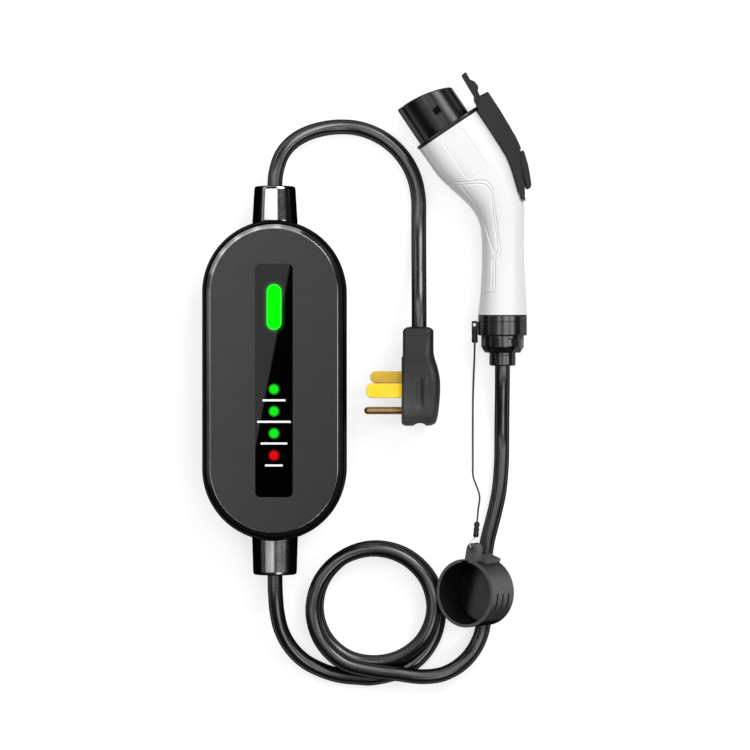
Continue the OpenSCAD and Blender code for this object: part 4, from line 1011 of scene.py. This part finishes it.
cap_origin = cap_at((0, 0, 0))
cap_ways = [tuple(cap_at(p) - cap_origin) for p in ((0, 0, 1), (1, 0, 0), (0, -1, 0), (0.97, -0.242, 0))]
from_axis = cap_vector("SUBTRACT", place_in(ct), tuple(cap_origin * MM))["Vector"]
radius = cap_vector("LENGTH", cap_vector("CROSS_PRODUCT", from_axis, cap_ways[0])["Vector"])["Value"]
depth, side, right, along = (cap_vector("DOT_PRODUCT", from_axis, way)["Value"] for way in cap_ways)
# Painted shade over the slots in its side
SLOT_MID, SLOT_STEP = 9.25, 8.0
slot_gap = maths(ct, "PINGPONG", maths(ct, "SUBTRACT", depth, SLOT_MID * MM), SLOT_STEP / 2 * MM)
slot = cap_step(slot_gap, 0.85, 1.1, 1.0, 0.0)
slot_end = cap_step(maths(ct, "ABSOLUTE", along), 6.4, 6.9, 1.0, 0.0)
for mask in (slot_end, cap_step(right, 10, 12), cap_step(depth, 4.5, 5.2)):
    slot = maths(ct, "MULTIPLY", slot, mask)
wall = maths(ct, "SUBTRACT", 1.0, slot)
# Painted highlight: the outer wall keeps its colour in a band along its side and is painted darker above and below it
for mask in (cap_step(radius, CAP_R - 0.9, CAP_R - 0.3), cap_step(side, 4, 22, 1.0, 0.3),
             cap_step(side, -17, 2, 0.15, 1.0)):
    wall = maths(ct, "MULTIPLY", wall, mask)
lug = cap_step(radius, CAP_R + 0.2, CAP_R + 0.6)
# Painted light on one side of the floor inside the cap
leaning = maths(ct, "SUBTRACT", right, maths(ct, "MULTIPLY", side, 0.25))
floor_painted_light = maths(ct, "MULTIPLY", cap_step(leaning, -18, -5), cap_step(depth, 2.6, 3.0, 1.0, 0.0))
back = cap_step(depth, 1.6, 2.1, 1.0, 0.0)
painted_lit = cap_step(depth, CAP_L - 0.8, CAP_L - 0.2)
for part in (wall, lug, floor_painted_light, back):
    painted_lit = maths(ct, "MAXIMUM", painted_lit, part)
# Painted shade: colour and gloss fall to a tenth where the marks above leave the cap unlit
dim = ranged(ct, painted_lit, 0.0, 1.0, 0.1, 1.0)
cap_bsdf = scale_base(ct, dim)
cap_gloss = cap_bsdf.inputs["Specular IOR Level"].links[0].from_socket
put(cap_bsdf, {"Specular IOR Level": maths(ct, "MULTIPLY", cap_gloss, dim)})

# Plug: painted light, its colour growing paler towards its lower left
pt = plug_mat.node_tree
LOWER_LEFT = (-0.55, -0.84, 0)
plug_painted_light_run = add(pt, "VectorMath", {0: place_in(pt), 1: LOWER_LEFT}, operation="DOT_PRODUCT").outputs["Value"]
scale_base(pt, ranged(pt, plug_painted_light_run, -0.068, -0.024, 0.7, 5.0))

# Painted green glow on the window round the light bar: the window itself emits, fading away from the bar
wt = window_mat.node_tree
GLOW_REACH, GLOW_LEVEL = 3.4, 0.08
split = add(wt, "SeparateXYZ", {"Vector": place_in(wt)}).outputs
run = maths(wt, "SUBTRACT", split["Y"], BAR_Y * MM)
over = maths(wt, "MAXIMUM", maths(wt, "SUBTRACT", maths(wt, "ABSOLUTE", run), (BAR_L - BAR_W) / 2 * MM))
squares = [maths(wt, "MULTIPLY", v, v) for v in (over, split["X"])]
far = maths(wt, "SQRT", maths(wt, "ADD", *squares))
halo = ranged(wt, far, BAR_W / 2 * MM, (BAR_W / 2 + GLOW_REACH) * MM, GLOW_LEVEL, 0.0)
put(wt.nodes["Principled BSDF"], {"Emission Color": (0.02, 1.0, 0.03, 1), "Emission Strength": halo})

# Floor: pale, a little brighter to the camera and in reflections
FLOOR_HALF, FLOOR_GREY, FLOOR_GLOW = 8.0, 0.42, 0.68
floor_mesh = bpy.data.meshes.new("floor")
floor_mesh.from_pydata(
    [(x * FLOOR_HALF, y * FLOOR_HALF, 0) for x, y in ((-1, -1), (1, -1), (1, 1), (-1, 1))], [], [(0, 1, 2, 3)])
floor = bpy.data.objects.new("floor", floor_mesh)
scene.collection.objects.link(floor)
floor_mat = bpy.data.materials.new("floor_white")
floor_mat.use_nodes = True
ft = floor_mat.node_tree
ft.nodes.clear()
rays = add(ft, "LightPath").outputs
seen = rays["Is Camera Ray"]
for ray in ("Is Glossy Ray", "Is Transmission Ray"):
    seen = maths(ft, "MAXIMUM", seen, rays[ray])
matt = add(ft, "BsdfDiffuse", {"Color": (FLOOR_GREY, FLOOR_GREY, FLOOR_GREY, 1)})
bright = add(ft, "Emission", {"Strength": maths(ft, "MULTIPLY", seen, FLOOR_GLOW)})
both = add(ft, "AddShader", {0: matt.outputs[0], 1: bright.outputs[0]})
add(ft, "OutputMaterial", {"Surface": both.outputs[0]})
floor_mesh.materials.append(floor_mat)

# World: dim and plain
world = bpy.data.worlds.new("world")
scene.world = world
world.use_nodes = True
put(world.node_tree.nodes["Background"], {"Color": (1, 1, 1, 1), "Strength": 0.02})


def lamp(name, place, aim, size, radiance, turn=0.0):
    """Rectangular softbox of the given brightness."""
    d = bpy.data.lights.new(name, "AREA")
    d.shape = "RECTANGLE"
    d.size, d.size_y = size
    d.energy = radiance * math.pi * size[0] * size[1]
    o = bpy.data.objects.new(name, d)
    o.location = place
    look = (Vector(aim) - Vector(place)).to_track_quat("-Z", "Y").to_matrix()
    o.rotation_euler = (look @ Matrix.Rotation(turn, 3, "Z")).to_euler()
    scene.collection.objects.link(o)


# Softboxes overhead: over the window's left, strips over the glands, and two on the right
LAMP_Z = 1.25
for name, x, y, size, radiance, turn in (
        ("left_box", -0.195, 0.028, (0.30, 0.72), 3.4, -10.8), ("upper_strip", -0.71, 0.425, (2.08, 0.24), 3.9, -4.5),
        ("lower_strip", -0.72, -0.335, (1.3, 0.18), 2.8, 3.4), ("right_strip", 0.545, -0.035, (0.61, 0.31), 4.2, 0.0),
        ("low_right", 0.6, -0.74, (0.7, 0.42), 5.2, 0.0)):
    lamp(name, (x, y, LAMP_Z), (x, y, 0), size, radiance, turn=math.radians(turn))

# Softboxes that light the gun from the right, the first the largest
lamp("upper_right", (0.78, 1.12, 1.3), (0.1, 0.05, 0), (1.0, 0.9), 6.0)
lamp("right_side", (1.25, 0.04, 1.15), (0.15, 0.04, 0), (0.48, 0.5), 4.6)
lamp("right_up", (1.1, 0.98, 1.15), (0.15, 0.15, 0), (0.6, 0.55), 6.0)

# Low band of lamps round the upper left, for the box's rim
BAND_R, BAND_EL, BAND_WIDE, BAND_AIM = 1.6, math.radians(23), 0.66, (0, 0.071, 0.047)
for az, tall, radiance in ((80, 0.34, 1.5), (98, 0.34, 2.6), (116, 0.34, 2.6), (134, 0.34, 2.6), (151, 0.34, 2.1),
                           (170, 0.2, 1.1), (187, 0.2, 0.9)):
    a = math.radians(az)
    spot = (BAND_R * math.cos(a), BAND_AIM[1] + BAND_R * math.sin(a), BAND_AIM[2] + BAND_R * math.tan(BAND_EL))
    lamp("band_%d" % az, spot, BAND_AIM, (BAND_WIDE, tall), radiance)

scene.view_settings.view_transform = "Standard"
